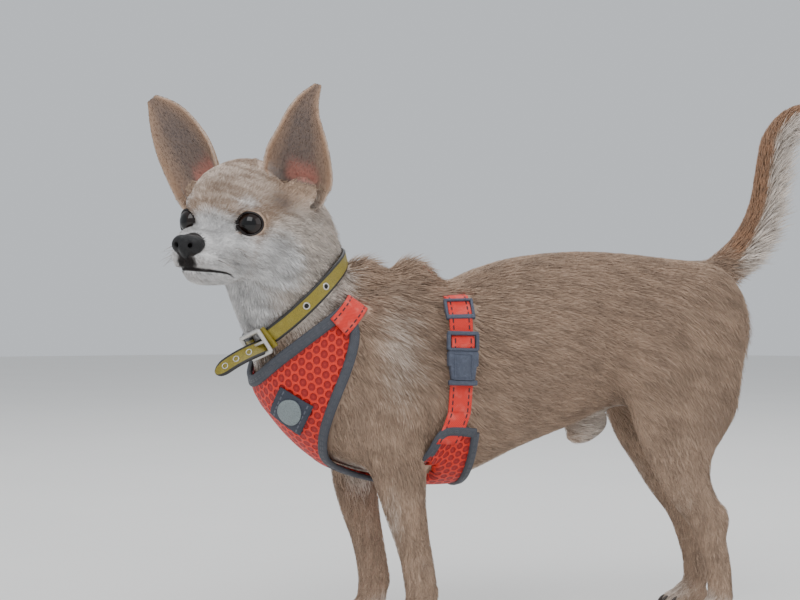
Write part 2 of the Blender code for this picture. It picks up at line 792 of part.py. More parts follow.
def build_harness(tree):
    """The chest vest with its edging and patch, and the straps that hold it."""
    rows = np.concatenate([[0, 0.045, 0.05], np.linspace(0.05, 1, 20)[1:]])
    grid = vest_grid(tree, rows, 1.6)
    finished(shell("vest", grid[2:, 2:-2], 2.2, tree=tree), "harness_vest", "mesh")
    bm = bmesh.new()
    made = [[bm.verts.new(Vector(p) * MM) for p in row] for row in grid]
    last = grid.shape[1] - 1
    for i in range(len(rows) - 1):
        for j in range(last):
            if i == 0 or j in (0, last - 1):
                bm.faces.new((made[i][j], made[i + 1][j], made[i + 1][j + 1], made[i][j + 1]))
    bmesh.ops.delete(bm, geom=[v for v in bm.verts if not v.link_faces], context="VERTS")
    mesh = bpy.data.meshes.new("edging")
    bm.to_mesh(mesh)
    bm.free()
    edging = new_object("edging", mesh, FORMS)
    turn_outwards(mesh, tree)
    apply_modifier(edging, "SOLIDIFY", thickness=2.6 * MM, offset=1.0, use_even_offset=True)
    finished(edging, "harness_vest_edging", "trim")
    build_straps(tree)


def build_eyes(head):
    """Cut each socket and the opening between its lids, and set the eyeball in it."""
    for side, word in ((1, "left"), (-1, "right")):
        centre = Vector((0, side * EYE_SIDE, 0))
        gaze = math.radians(side * EYE_TURN)
        bm = bmesh.new()
        wide, high = EYE_OPENING
        bmesh.ops.create_cone(bm, cap_ends=True, segments=28, radius1=1, radius2=1, depth=2)
        scale = Matrix.Diagonal((high * MM, wide * MM, 12 * MM, 1))
        lie = Matrix.Translation(centre * MM) @ Matrix.Rotation(gaze, 4, "Z")
        lie @= Matrix.Translation((12 * MM, 0, 0)) @ Matrix.Rotation(math.pi / 2, 4, "Y")
        bmesh.ops.transform(bm, matrix=HEAD_FRAME @ lie @ scale, verts=bm.verts)
        mesh = bpy.data.meshes.new("opening")
        bm.to_mesh(mesh)
        bm.free()
        combine(head, new_object("opening", mesh, FORMS), "DIFFERENCE")
        room = (EYE_RADIUS + PART_GAP + 0.25,) * 3
        combine(head, ellipsoid("socket", centre, room, frame=HEAD_FRAME, sides=16), "DIFFERENCE")
        ball = ellipsoid("ball", centre, (EYE_RADIUS,) * 3, frame=HEAD_FRAME, sides=14)
        finished(ball, "eye_" + word, "eye")


def build_nose(head):
    """The nose leather with its nostrils, let into the tip of the muzzle."""
    x, y, z = NOSE_CENTRE
    forms = [
        (ellipsoid("pad", (x, y, z), (5.2, 9.2, 5.6), frame=HEAD_FRAME), 3.0),
        (ellipsoid("septum", (x + 0.8, y, z - 2.5), (4.6, 4.2, 6.5), frame=HEAD_FRAME), 3.0),
    ]
    for side in (-1, 1):
        place = (x - 0.5, side * 6.2, z - 0.5)
        forms.append((ellipsoid("wing", place, (5, 4.6, 5), frame=HEAD_FRAME), 3.0))
    nose = grow("nose", forms, 0.8)
    thin_out(nose, 300)
    room = copy_of(nose, "nose room")
    apply_modifier(room, "DISPLACE", strength=PART_GAP * MM, mid_level=0.0)
    combine(head, room, "DIFFERENCE")
    for side in (-1, 1):
        place = (x + 4.5, side * 4.9, z - 0.6)
        hole = ellipsoid("nostril", place, (4.0, 1.9, 1.6), (side * 35, 0, side * 25), HEAD_FRAME, 9)
        combine(nose, hole, "DIFFERENCE")
    finished(nose, "nose", "nose")


def build_mouth(head):
    """The groove between the lips and the one below the nose."""
    half = [(7, 18.8, -31.5), (14, 18.5, -30), (23, 15, -29), (31, 9.5, -28.5), (35.5, 3, -28)]
    path = half + [(x, -y, z) for x, y, z in reversed(half)]
    rings = []
    rows = smooth_rows(path, 3)
    for i, point in enumerate(rows):
        along = unit(rows[min(i + 1, len(rows) - 1)] - rows[max(i - 1, 0)])
        out = unit(np.cross((0, 0, 1), along))
        reach = 3.2 if 1 < i < len(rows) - 2 else 1.0
        rings.append([head_point(point + step) for step in (out * reach, (0, 0, 0.55), -out * reach, (0, 0, -0.55))])
    groove = new_object("groove", mesh_from_rings("groove", rings), FORMS)
    combine(head, groove, "DIFFERENCE")
    x, y, z = NOSE_CENTRE
    philtrum = box("philtrum", (x - 4.5, -0.35, z - 14), (x + 5, 0.35, z - 4), HEAD_FRAME)
    combine(head, philtrum, "DIFFERENCE")


def build_ears(head):
    """Two cupped ears, each let into the head where it stands."""
    for side, word in ((1, "left"), (-1, "right")):
        grid, facing = ear_grid(side)
        grid = np.array([[head_point(p) for p in row] for row in grid])
        ear = shell("ear", grid, 2.2, 0.0)
        rings, _ = ear_grid(side, filled=True, extra=1.5)
        rings = [[head_point(p) for p in row] for row in rings]
        axis = unit(np.array(rings[3]).mean(axis=0) - np.array(rings[0]).mean(axis=0))
        rings[0] = [p - axis * 0.3 for p in rings[0]]
        room = new_object("ear room", mesh_from_rings("ear room", rings), FORMS)
        combine(head, room, "DIFFERENCE")
        finished(ear, "ear_" + word, "coat")


def build_straps(tree):
    """The webbing, its adjusters and buckles, and the patch on the vest."""
    # The neck strap's ends lie over the vest's upper corners
    lifts = STRAP_LIFT + np.interp(np.abs(np.linspace(-91, 91, 27)), (50, 63), (0, 3.6))
    neck = ring_strap("neck strap", tree, NECK_STRAP_CENTRE, COLLAR_NORMAL, -91, 91, WEBBING, 1.8, lifts, 27)
    finished(neck, "harness_neck_strap", "webbing")
    starts = [[(x, y, 190) for y in (-WEBBING / 2, 0, WEBBING / 2)] for x in np.linspace(3, 17, 5)]
    grid = surface_grid(tree, starts, [[(0, 0, 1)] * 3] * 5, STRAP_LIFT)
    finished(shell("back strap", grid, 1.8, tree=tree), "harness_back_strap", "webbing")
    top = ring_strap("girth top", tree, GIRTH_CENTRE, GIRTH_NORMAL, -34, 34, WEBBING, 1.8, STRAP_LIFT, 13)
    finished(top, "harness_girth_top", "webbing")
    for side, word in ((-1, "left"), (1, "right")):
        for first, last, name in ((50.5, 56.5, "link"), (101, 118, "lower")):
            strap = ring_strap(
                name, tree, GIRTH_CENTRE, GIRTH_NORMAL, side * first, side * last, WEBBING, 1.8, STRAP_LIFT, 7
            )
            finished(strap, f"harness_girth_{name}_{word}", "webbing")
        for angle, name, size in ((42, "adjuster", (19, 14.5, 3.2)), (78, "buckle", (20.5, 34, 7.0))):
            turn = math.radians(angle)
            way = (0.06 * math.cos(turn), side * math.sin(turn), math.cos(turn))
            piece, frame = facing_plate(tree, name, GIRTH_CENTRE, way, size, 2.0, along=(0, 0, 1))
            if name == "adjuster":
                for low in (-5.6, 0.9):
                    slot = box("slot", (-7.7, low, -1), (7.7, low + 4.7, 5), frame)
                    combine(piece, slot, "DIFFERENCE")
            apply_modifier(piece, "BEVEL", width=0.8 * MM, segments=1)
            finished(piece, f"harness_{name}_{word}", "plastic")
    patch = shell("patch", patch_grid(tree, *PATCH_PLACE, PATCH_SIZE, 4.7, PATCH_TURN), 0.9, tree=tree)
    finished(patch, "harness_patch", "trim")


def build_collar(tree):
    """The leather collar, its frame buckle, tongue and keeper, and the loose end of its strap."""
    strap = ring_strap("collar", tree, COLLAR_CENTRE, COLLAR_NORMAL, -146, 196, COLLAR_WIDTH, 2.8, 0.8, 37)
    finished(strap, "collar_strap", "leather")
    way = unit(np.array(COLLAR_TAIL_END) - COLLAR_TAIL_START)
    across = unit(np.cross(way, (0.25, 0.95, 0.1)))
    out = np.cross(across, way)
    half = COLLAR_WIDTH / 2
    length = np.linalg.norm(np.array(COLLAR_TAIL_END) - COLLAR_TAIL_START)
    rings = []
    for share in np.concatenate([np.linspace(0, 0.8, 6), [0.88, 0.95, 1.0]]):
        wide = half * math.sqrt(max(1 - max((share - 0.72) / 0.29, 0) ** 2, 0.02))
        centre = COLLAR_TAIL_START + way * (length * share) - out * (3.0 * math.sin(math.pi * share))
        rings.append([centre + across * a * wide + out * b for a, b in ((-1, -1), (1, -1), (1, 1), (-1, 1))])
    tail = new_object("collar end", mesh_from_rings("collar end", rings), FORMS)
    finished(tail, "collar_end", "leather")
    for name, angle, size, window, metal, lift in (
        ("collar_buckle", BUCKLE_ANGLE, (15.5, 19, 2.2), (10.5, 14), "metal", 4.9),
        ("collar_keeper", KEEPER_ANGLE, (5, 15, 1.4), None, "leather", 4.7),
    ):
        turn = math.radians(angle)
        normal = unit(COLLAR_NORMAL)
        out = unit(np.cross((0, 1, 0), normal))
        way = out * math.cos(turn) + np.cross(normal, out) * math.sin(turn)
        piece, frame = facing_plate(tree, name, COLLAR_CENTRE, way, size, lift, along=COLLAR_NORMAL)
        if window:
            for side in (-1, 1):
                low, high = sorted((side * 0.9, side * window[1] / 2))
                combine(piece, box("window", (-window[0] / 2, low, -1), (window[0] / 2, high, 5), frame), "DIFFERENCE")
        apply_modifier(piece, "BEVEL", width=0.5 * MM, segments=1)
        finished(piece, name, metal)


def build_tail(tail):
    """Part the tail where it bends, and root the fringe's locks in each length."""
    locks = tail_locks()
    for name, cut, normal in (("tail_tip", *TAIL_TIP_CUT), ("tail_middle", *TAIL_MIDDLE_CUT), ("tail_root", None, None)):
        length = part_off(tail, name, (-60, -60, 0), (60, 60, 200), facing_frame(cut, normal)) if cut else tail
        rooted = []
        for centre, form in list(locks):
            if cut is None or np.dot(np.array((centre[0], 0, centre[1])) - cut, normal) > LOCK_WIDTH * 0.7:
                rooted.append(form)
                locks.remove((centre, form))
        joined(length, rooted)
        finished(length, name, "coat")
        if cut:
            # The fringe of the length above hangs over the cut, so the lengths below give it room
            wide = copy_of(length, "fringe room")
            apply_modifier(wide, "DISPLACE", strength=PART_GAP * MM, mid_level=0.0)
            for _, form in locks:
                combine(form, wide, "DIFFERENCE")


def build_animal():
    """Everything of flesh, grown as one and parted with thin cuts. It returns the body for the harness to lie on."""
    body = torso_forms() + [(neck_form(), BODY_BLEND), (tail_form("tail", 1.0, 1.5), BODY_BLEND)]
    legs = {(which, side): leg_forms(which, side) for which in ("fore", "hind") for side in (-1, 1)}
    for forms in legs.values():
        body += forms
    heads = head_forms()
    whole = grow("whole", body + heads, BODY_VOXEL)
    thin_out(whole, 4600)
    worn = tree_of(whole)[0]

    head = grow("head", heads + [(neck_form(), BODY_BLEND)], HEAD_VOXEL)
    thin_out(head, 2620)
    above_neck = facing_frame(HEAD_CUT, HEAD_CUT_NORMAL)
    reach = (150, 150, 200)
    combine(head, box("above", (-150, -150, PART_GAP), reach, above_neck), "INTERSECT")
    combine(whole, box("above", (-150, -150, 0), reach, above_neck), "DIFFERENCE")
    build_eyes(head)
    build_nose(head)
    build_mouth(head)
    build_ears(head)
    finished(head, "head", "coat")

    above_collar = facing_frame(COLLAR_CENTRE, COLLAR_NORMAL)
    finished(part_off(whole, "neck", (-90, -90, 0), (90, 90, 90), above_collar), "neck", "coat")
    behind = facing_frame(TAIL_CUT, TAIL_CUT_NORMAL)
    tail = part_off(whole, "tail", (-60, -60, 0), (60, 60, 200), behind)
    for side, word in ((-1, "left"), (1, "right")):
        def across(low, high):
            return sorted((side * low, side * high))

        for which, name, x_range, inner, top, knee in (
            ("fore", "foreleg", (-75, 15 + FORE_SHIFT[side]), 19, 116, None),
            ("hind", "hindleg", (130, 262), 7, 156, 98),
        ):
            y_low, y_high = across(inner, 75)
            spans = [(PAW_TOP, top, "")] if knee is None else [(PAW_TOP, knee, "_lower"), (knee, top, "_upper")]
            for low, high, part in spans:
                lift = PART_GAP if low == knee else 0
                piece = part_off(whole, name, (x_range[0], y_low, low + lift), (x_range[1], y_high, high))
                finished(piece, f"{name}{part}_{word}", "coat")
            forms, toes = paw_forms(which, side)
            paw = grow("paw", legs[which, side] + forms, PAW_VOXEL, 2)
            y_low, y_high = across(-5, 90)
            combine(paw, box("keep", (-90, y_low, 0), (290, y_high, PAW_TOP - PART_GAP)), "INTERSECT")
            thin_out(paw, 270)
            joined(paw, [claw(toe) for toe in toes])
            combine(paw, box("keep", (-90, y_low, 0), (290, y_high, PAW_TOP - PART_GAP)), "INTERSECT")
            finished(paw, f"{which}paw_{word}", "coat")
    build_tail(tail)
    combine(whole, box("keep", (-150, -90, PAW_TOP + 40), (330, 90, 400)), "INTERSECT")
    finished(whole, "torso", "coat")
    return worn


def stand_at_origin():
    """Shift everything so that the middle of its box stands over the origin."""
    low = np.full(3, 1e9)
    high = -low
    for obj in PARTS.objects:
        places = np.array([v.co for v in obj.data.vertices])
        low = np.minimum(low, places.min(axis=0))
        high = np.maximum(high, places.max(axis=0))
    shift = Matrix.Translation((-(low[0] + high[0]) / 2, -(low[1] + high[1]) / 2, -low[2]))
    for obj in PARTS.objects:
        obj.data.transform(shift)
    return shift.translation


def main():
    """Build the dog, then what it wears, and drop the forms they were made from."""
    worn = build_animal()
    build_harness(worn)
    build_collar(worn)
    shift = stand_at_origin()
    for obj in list(FORMS.objects):
        bpy.data.objects.remove(obj, do_unlink=True)
    print("moved by", [round(value / MM, 3) for value in shift])
    return shift


OFFSET = main()
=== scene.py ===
"""A standing smooth-coated chihuahua in a red air-mesh harness and an olive leather collar.

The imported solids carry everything. One skin stands for all the nodes of flesh, tufts of mesh lie over it,
and the harness and collar are dressed piece by piece. Tables are in millimetres in the dog's frame: it
looks towards -X and its left side is towards -Y. The head has a frame of its own, between the eyes.
"""

import math
from contextlib import contextmanager

import bmesh
import bpy
import numpy as np
from mathutils import Matrix, Vector, noise
from mathutils.bvhtree import BVHTree


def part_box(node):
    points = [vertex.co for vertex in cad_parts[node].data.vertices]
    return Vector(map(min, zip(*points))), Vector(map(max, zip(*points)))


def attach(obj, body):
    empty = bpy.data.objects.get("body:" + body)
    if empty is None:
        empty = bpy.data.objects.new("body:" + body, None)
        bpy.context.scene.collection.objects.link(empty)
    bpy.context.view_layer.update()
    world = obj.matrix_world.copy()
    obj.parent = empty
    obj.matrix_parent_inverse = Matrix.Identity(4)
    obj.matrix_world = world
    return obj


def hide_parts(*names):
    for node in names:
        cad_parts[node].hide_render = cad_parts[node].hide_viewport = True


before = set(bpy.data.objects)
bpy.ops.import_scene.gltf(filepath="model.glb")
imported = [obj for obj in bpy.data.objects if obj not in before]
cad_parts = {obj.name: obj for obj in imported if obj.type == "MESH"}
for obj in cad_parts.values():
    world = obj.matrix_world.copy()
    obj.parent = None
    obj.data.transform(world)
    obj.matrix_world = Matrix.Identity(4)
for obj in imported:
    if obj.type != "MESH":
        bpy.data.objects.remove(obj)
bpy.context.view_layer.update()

bl_info = {
    "name": "Chihuahua in a harness",
    "version": (1, 0, 0),
    "blender": (4, 5, 0),
    "location": "View3D > Sidebar > Chihuahua",
    "description": "Skin, coat, eyes, harness, collar and stage of a life-size chihuahua",
    "category": "Object",
}

MM = 0.001
FLESH = ["head", "neck", "torso", "tail_root", "tail_middle", "tail_tip", "ear_left", "ear_right"] + [
    f"{part}_{word}"
    for part in ("foreleg", "forepaw", "hindleg_upper", "hindleg_lower", "hindpaw")
    for word in ("left", "right")
]

# The head's frame in the dog's frame, and the eyes, ears and nose in the head's frame
HEAD_ORIGIN = np.array((-124.0, -36.0, 266.0))
HEAD_YAW = 43.0
HEAD_ROLL = 3.0
EYE_SIDE = 21.3
EYE_TURN = 22.0
EYE_OPENING = (8.0, 7.1)
# How far the opening draws out to the inner corner, how flat its lower lid is, and how far the corner drops
EYE_CORNER = 1.16
EYE_LOW = 0.94
EYE_DROP = 0.14
EAR_BASE = {1: (-30, 32, 23), -1: (-18, -32, 22)}
EAR_TIP = {1: (-38, 41, 87.7), -1: (-24.7, -76.5, 78.6)}
EAR_FACING = {1: (0.75, 0.6, 0.1), -1: (0.95, -0.05, 0.15)}
# By height on each ear: share, half width and how far the row stands to the dog's left
EAR_ROWS = {
    1: [
        (-0.14, 17, 0.5), (0, 19.5, 0.5), (0.12, 21.5, -0.3), (0.3, 20.2, -2.5), (0.5, 15.3, -3.7),
        (0.7, 9.8, -5.7), (0.86, 5.8, -4.4), (1, 1.9, -0.8),
    ],
    -1: [
        (-0.14, 15.5, -2), (0, 17.3, -1.6), (0.12, 18.6, -0.4), (0.3, 19.3, 0.8), (0.5, 18, 0.6),
        (0.7, 14.6, 0.4), (0.86, 9.6, -0.5), (1, 3.4, -2.2),
    ],
}
# The toes in the dog's frame, by paw: the middle of the paw, then each toe's step to the side and forward
PAWS = {
    "forepaw_left": (3, -32), "forepaw_right": (-10, 32), "hindpaw_left": (214, -35), "hindpaw_right": (230, 35),
}
TOES = [(-7.4, 14), (-2.6, 19), (2.6, 19), (7.4, 14)]
MOUTH = [(7, 18.8, -31.5), (14, 18.5, -30), (23, 15, -29), (31, 9.5, -28.5), (35.5, 3, -28)]
NOSE = (35.0, 0.0, -13.5)

# Planes and places of what it wears, as the solids have them
COLLAR_NORMAL = (-0.69, 0.0, 0.72)
COLLAR_CENTRE = (-73.8, -10.0, 215.9)
NECK_STRAP_CENTRE = (-54.0, 0.0, 202.0)
GIRTH_CENTRE = (26.0, 0.0, 172.0)
GIRTH_NORMAL = (-1.0, 0.0, 0.05)
# Round the collar, in degrees from its top: the eyelets that show
EYELETS = (-92, -66, 92, 66)
COLLAR_END = ((-97.0, -31.2, 190.8), (-126.5, -21.3, 173.3))
# Degrees from the top where the collar starts and ends, and the thickness and rounding of its leather
COLLAR_SPAN = (-148, 198)
COLLAR_THICK = 2.0
COLLAR_ROUNDING = 0.8
WEBBING_THICK = 1.5
WEBBING_LIFT = 1.35

# The vest from its neckline to the girth: x and z of the body's middle, and by row how many degrees it reaches
# round from below. Rows past TRUNK_ROW lie on the trunk alone, because the forelegs would push them out.
SPINE = [(-62, 204), (-33, 174), (-6, 152), (17, 144), (36, 143)]
REACH = [
    (0, 112), (0.1, 109), (0.15, 96), (0.2, 77), (0.25, 53), (0.32, 32), (0.4, 17), (0.6, 17), (0.65, 42),
    (0.7, 70), (0.75, 84), (1, 84),
]
TRUNK_ROW = 0.38
VEST_ROWS = 80
VEST_COLUMNS = 61

# Moulded and cast pieces as rounded boxes: centre, half size, bevel and how much the far end narrows
ADJUSTER = [
    ((0, -6.4, 0.3), (9.4, 0.9, 1.3), 0.6, 1.0), ((0, 0, -1.6), (9.4, 0.9, 1.3), 0.6, 1.0),
    ((0, 6.2, 0.3), (9.4, 1.5, 1.3), 0.6, 1.0), ((-8.5, 0, 0.2), (1.0, 7.3, 1.3), 0.6, 1.0),
    ((8.5, 0, 0.2), (1.0, 7.3, 1.3), 0.6, 1.0),
]
RELEASE_BUCKLE = [
    ((0, -15.8, 0.6), (10.1, 1.3, 1.9), 0.9, 1.0), ((0, -5.4, 0.8), (9.6, 1.1, 2.0), 0.8, 1.0),
    ((-9.2, -10.6, 0.5), (1.2, 5.6, 1.9), 0.8, 1.0), ((9.2, -10.6, 0.5), (1.2, 5.6, 1.9), 0.8, 1.0),
    ((0, 0.4, 0.2), (10.0, 4.9, 2.7), 1.2, 1.0), ((0, 8.6, 0.2), (9.0, 5.4, 2.7), 1.2, 0.86),
    ((-5.6, 5.4, 2.4), (0.55, 8.2, 0.9), 0.4, 1.0), ((5.6, 5.4, 2.4), (0.55, 8.2, 0.9), 0.4, 1.0),
    ((0, -2.6, 2.4), (5.9, 0.55, 0.9), 0.4, 1.0), ((0, 13.4, 2.4), (5.9, 0.55, 0.9), 0.4, 1.0),
    ((0, 5.4, 2.2), (4.4, 7.0, 0.75), 0.5, 1.0), ((0, 15.4, 0.2), (9.3, 1.7, 2.3), 0.9, 1.0),
]
COLLAR_BUCKLE = [
    ((0, -9.6, 0.4), (8.4, 1.4, 1.3), 1.1, 1.0), ((0, 9.6, 0.4), (8.4, 1.4, 1.3), 1.1, 1.0),
    ((-7.6, 0, 0.4), (1.4, 10.2, 1.3), 1.1, 1.0), ((7.6, 0, 0.4), (1.4, 10.2, 1.3), 1.1, 1.0),
    ((0, 0.4, 1.3), (0.9, 10.2, 0.7), 0.5, 1.0),
]
KEEPER = [((0, 0, 0.6), (7.3, 2.4, 0.9), 0.5, 1.0)]

# The photo's camera in the dog's frame: place, degrees down and round, and lens
CAMERA_PLACE = (-350.8, -1147.6, 237.0)
CAMERA_TURN = (0.93, -17)
CAMERA_LENS = 83.0
# Name, place in metres, size and share of the key light's power
LIGHTS = [
    ("key", (-0.9, -1.2, 1.6), 1.4, 1.0), ("fill", (1.3, -1.0, 0.9), 1.6, 0.35), ("top", (0.3, 0.7, 1.8), 1.4, 0.8),
]

# Hair and skin colours. The grey also paints shade and the cream a highlight. Each is laid over those before it, by
# the mask of its name.
HAIR = ("Fawn", "Sable", "Cream", "White", "Grey", "Pink", "Dark")
TUFTS_A_PIECE = 18500
TAIL_SIDES = 20
EYE_SIDES = 48
CLAW_SIDES = 10
CLAW_CURL = [(-4.0, 7.4, 1.5), (-6.6, 6.2, 1.4), (-8.7, 4.3, 1.1), (-9.8, 2.2, 0.65), (-10.2, 0.8, 0.15)]


def midpoint(node):
    """The middle of a node's box, in millimetres of the world."""
    low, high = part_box(node)
    return np.array((low + high) / 2) / MM


SHIFT = (midpoint("eye_left") + midpoint("eye_right")) / 2 - HEAD_ORIGIN
HEAD_FRAME = Matrix.Translation(Vector(HEAD_ORIGIN)) @ Matrix.Rotation(math.radians(180 + HEAD_YAW), 4, "Z")
HEAD_FRAME @= Matrix.Rotation(math.radians(-HEAD_ROLL), 4, "X")
HEAD_TURN = np.array(HEAD_FRAME.to_3x3())
EYE_RADIUS = float((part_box("eye_left")[1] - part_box("eye_left")[0]).z / MM / 2)


def colour(name, value):
    """A colour setting."""
    return bpy.props.FloatVectorProperty(
        name=name, description=f"Colour of the {name.lower()}", subtype="COLOR", size=4, min=0, max=1,
        default=(*value, 1.0),
    )


def size(name, millimetres):
    """A length setting, shown in the scene's unit."""
    return bpy.props.FloatProperty(
        name=name, description=f"{name}, as made", unit="LENGTH", default=millimetres * MM, min=0.0
    )


class CoatSettings(bpy.types.PropertyGroup):
    """Colours and measures of the skin and the coat."""

    fawn: colour("Fawn hair", (0.44, 0.31, 0.225))
    cream: colour("Cream hair and painted highlight", (0.68, 0.60, 0.53))
    white: colour("White hair", (0.74, 0.725, 0.715))
    sable: colour("Red-brown hair", (0.33, 0.185, 0.11))
    grey: colour("Grey hair and painted shade", (0.115, 0.092, 0.085))
    dark: colour("Dark skin and hair", (0.02, 0.016, 0.015))
    pink: colour("Bare pink skin", (0.42, 0.17, 0.13))
    body_voxel: size("Fineness of the body's skin", 1.5)
    head_voxel: size("Fineness of the head's skin", 0.85)
    body_tufts: bpy.props.IntProperty(name="Body tufts", description="Tufts on the trunk and legs", default=102000)
    head_tufts: bpy.props.IntProperty(name="Head tufts", description="Tufts on the head and ears", default=45000)
    seed: bpy.props.IntProperty(name="Seed", description="Start of the random draws", default=7)


class HeadSettings(bpy.types.PropertyGroup):
    """Colours of the eyes, nose, claws and whiskers."""

    iris: colour("Iris", (0.012, 0.006, 0.004))
    pupil: colour("Pupil", (0.002, 0.002, 0.002))
    eyewhite: colour("White of the eye", (0.55, 0.42, 0.36))
    nose: colour("Nose leather", (0.005, 0.0045, 0.005))
    claw: colour("Claw", (0.055, 0.042, 0.035))
    whisker: colour("Whisker", (0.35, 0.30, 0.26))


class HarnessSettings(bpy.types.PropertyGroup):
    """Colours and measures of the harness."""

    mesh: colour("Air mesh", (0.90, 0.035, 0.012))
    cells: colour("Painted shade in the air mesh's cells", (0.36, 0.004, 0.004))
    binding: colour("Binding", (0.062, 0.067, 0.082))
    webbing: colour("Webbing", (0.90, 0.035, 0.02))
    stitches: colour("Stitches", (0.01, 0.01, 0.012))
    plastic: colour("Buckle plastic", (0.085, 0.10, 0.145))
    patch: colour("Patch", (0.035, 0.042, 0.065))
    oval: colour("Oval on the patch", (0.27, 0.32, 0.33))
    webbing_width: size("Webbing width", 15.0)
    cell_pitch: size("Pitch of the mesh cells", 5.8)


class CollarSettings(bpy.types.PropertyGroup):
    """Colours and measures of the collar."""

    leather: colour("Collar leather", (0.30, 0.23, 0.015))
    edge: colour("Painted edge", (0.012, 0.011, 0.010))
    metal: colour("Nickel", (0.66, 0.64, 0.60))
    width: size("Collar width", 10.8)


class StageSettings(bpy.types.PropertyGroup):
    """The floor and the light."""

    floor: colour("Floor", (0.80, 0.79, 0.77))
    sky: colour("Surrounding light", (0.86, 0.90, 0.95))
    key: bpy.props.FloatProperty(name="Key light", description="Power of the key light", unit="POWER", default=22)


def lengths(rows):
    """The length of every row."""
    return np.linalg.norm(rows, axis=1)


def rows_unit(vectors):
    """Every row at length one."""
    vectors = np.asarray(vectors, float)
    return vectors / np.maximum(np.linalg.norm(vectors, axis=-1, keepdims=True), 1e-9)


def smoothstep(low, high, value):
    """0 below low, 1 above high and a smooth ramp between. Works downwards when low is above high."""
    t = np.clip((value - low) / (high - low), 0, 1)
    return t * t * (3 - 2 * t)


def curve_rows(rows, steps):
    """Points on a Catmull-Rom curve through the rows."""
    rows = np.asarray(rows, float)
    padded = np.vstack([2 * rows[0] - rows[1], rows, 2 * rows[-1] - rows[-2]])
    t = (np.arange(steps) / steps)[:, None]
    out = []
    for before, here, there, after in zip(padded, padded[1:], padded[2:], padded[3:]):
        out.append(
            0.5
            * (
                2 * here
                + (there - before) * t
                + (2 * before - 5 * here + 4 * there - after) * t**2
                + (3 * here - before - 3 * there + after) * t**3
            )
        )
    return np.vstack([*out, rows[-1:]])


def to_head(points):
    """Points of the dog's frame in the head's frame."""
    return (np.asarray(points, float) - HEAD_ORIGIN) @ HEAD_TURN


def from_head(points):
    """Points of the head's frame in the dog's frame."""
    return np.asarray(points, float) @ HEAD_TURN.T + HEAD_ORIGIN


def to_line(points, line):
    """Distance of each point to a polyline."""
    best = np.full(len(points), 1e9)
    for a, b in zip(line, line[1:]):
        along = b - a
        t = np.clip((points - a) @ along / (along @ along), 0, 1)
        best = np.minimum(best, lengths(points - a - t[:, None] * along))
    return best


def field_of(items, field, width, kind=np.float32):
    """One field of many items, a row for each item."""
    out = np.empty(len(items) * width, kind)
    items.foreach_get(field, out)
    return out.reshape(-1, width)


def coordinates(mesh):
    """A mesh's points in millimetres of the dog's frame."""
    return field_of(mesh.vertices, "co", 3).astype(float) / MM - SHIFT


def place(mesh, points):
    """Set a mesh's points from millimetres of the dog's frame."""
    mesh.vertices.foreach_set("co", ((points + SHIFT) * MM).astype(np.float32).ravel())
    mesh.update()


def vertex_normals(mesh):
    """A mesh's vertex normals."""
    return field_of(mesh.vertex_normals, "vector", 3).astype(float)


def edges_of(mesh):
    """A mesh's edges as pairs of indices."""
    return field_of(mesh.edges, "vertices", 2, np.int32)


def object_of(name, mesh, material=None):
    """A new object in the scene that shows a mesh."""
    obj = bpy.data.objects.new(name, mesh)
    bpy.context.scene.collection.objects.link(obj)
    if material:
        mesh.materials.append(material)
    return obj


def mesh_of(name, points, faces):
    """A smooth-shaded mesh from points in millimetres of the dog's frame."""
    mesh = bpy.data.meshes.new(name)
    world = (np.asarray(points, float).reshape(-1, 3) + SHIFT) * MM
    mesh.from_pydata(world.tolist(), [], [list(face) for face in faces])
    mesh.validate()
    mesh.shade_smooth()
    return mesh


def cloth_mesh(name, points, faces, flats):
    """A mesh of cloth. Its unwrap is in metres along and across it."""
    mesh = bpy.data.meshes.new(name)
    world = (points.reshape(-1, 3) + SHIFT) * MM
    mesh.from_pydata(world.tolist(), [], faces)
    layer = mesh.uv_layers.new(name="Cloth")
    layer.data.foreach_set("uv", (np.array(flats) * MM).astype(np.float32).ravel())
    return mesh


def triangles_mesh(name, points, triangles):
    """A smooth-shaded mesh of many triangles, made quickly."""
    mesh = bpy.data.meshes.new(name)
    mesh.vertices.add(len(points))
    mesh.loops.add(triangles.size)
    mesh.loops.foreach_set("vertex_index", triangles.astype(np.int32).ravel())
    mesh.polygons.add(len(triangles))
    mesh.polygons.foreach_set("loop_start", np.arange(0, triangles.size, 3, dtype=np.int32))
    place(mesh, points)
    mesh.update(calc_edges=True)
    mesh.shade_smooth()
    return mesh


@contextmanager
def edited(mesh):
    """A mesh opened for editing, and written back afterwards."""
    bm = bmesh.new()
    bm.from_mesh(mesh)
    yield bm
    bm.to_mesh(mesh)
    bm.free()
    mesh.update()


def merged(*meshes):
    """Meshes put together and left open."""
    bm = bmesh.new()
    for mesh in meshes:
        bm.from_mesh(mesh)
    return bm


def closed_mesh(bm, name):
    """A new mesh of an open one."""
    mesh = bpy.data.meshes.new(name)
    bm.to_mesh(mesh)
    bm.free()
    return mesh


def modified(obj, kind, **settings):
    """Apply one modifier with these settings, and give the new mesh."""
    modifier = obj.modifiers.new(kind.lower(), kind)
    for name, value in settings.items():
        setattr(modifier, name, value)
    graph = bpy.context.evaluated_depsgraph_get()
    mesh = bpy.data.meshes.new_from_object(obj.evaluated_get(graph))
    obj.modifiers.clear()
    obj.data = mesh
    return mesh


def joined_nodes(name, nodes, swell):
    """One object of several nodes' meshes, each welded and swollen a little so that their gaps close."""
    meshes = []
    for node in nodes:
        bm = merged(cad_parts[node].data)
        bmesh.ops.remove_doubles(bm, verts=bm.verts, dist=1e-6)
        bm.normal_update()
        for vertex in bm.verts:
            vertex.co += vertex.normal * swell * MM
        meshes.append(closed_mesh(bm, "scratch"))
    obj = object_of(name, closed_mesh(merged(*meshes), name))
    for mesh in meshes:
        bpy.data.meshes.remove(mesh)
    return obj


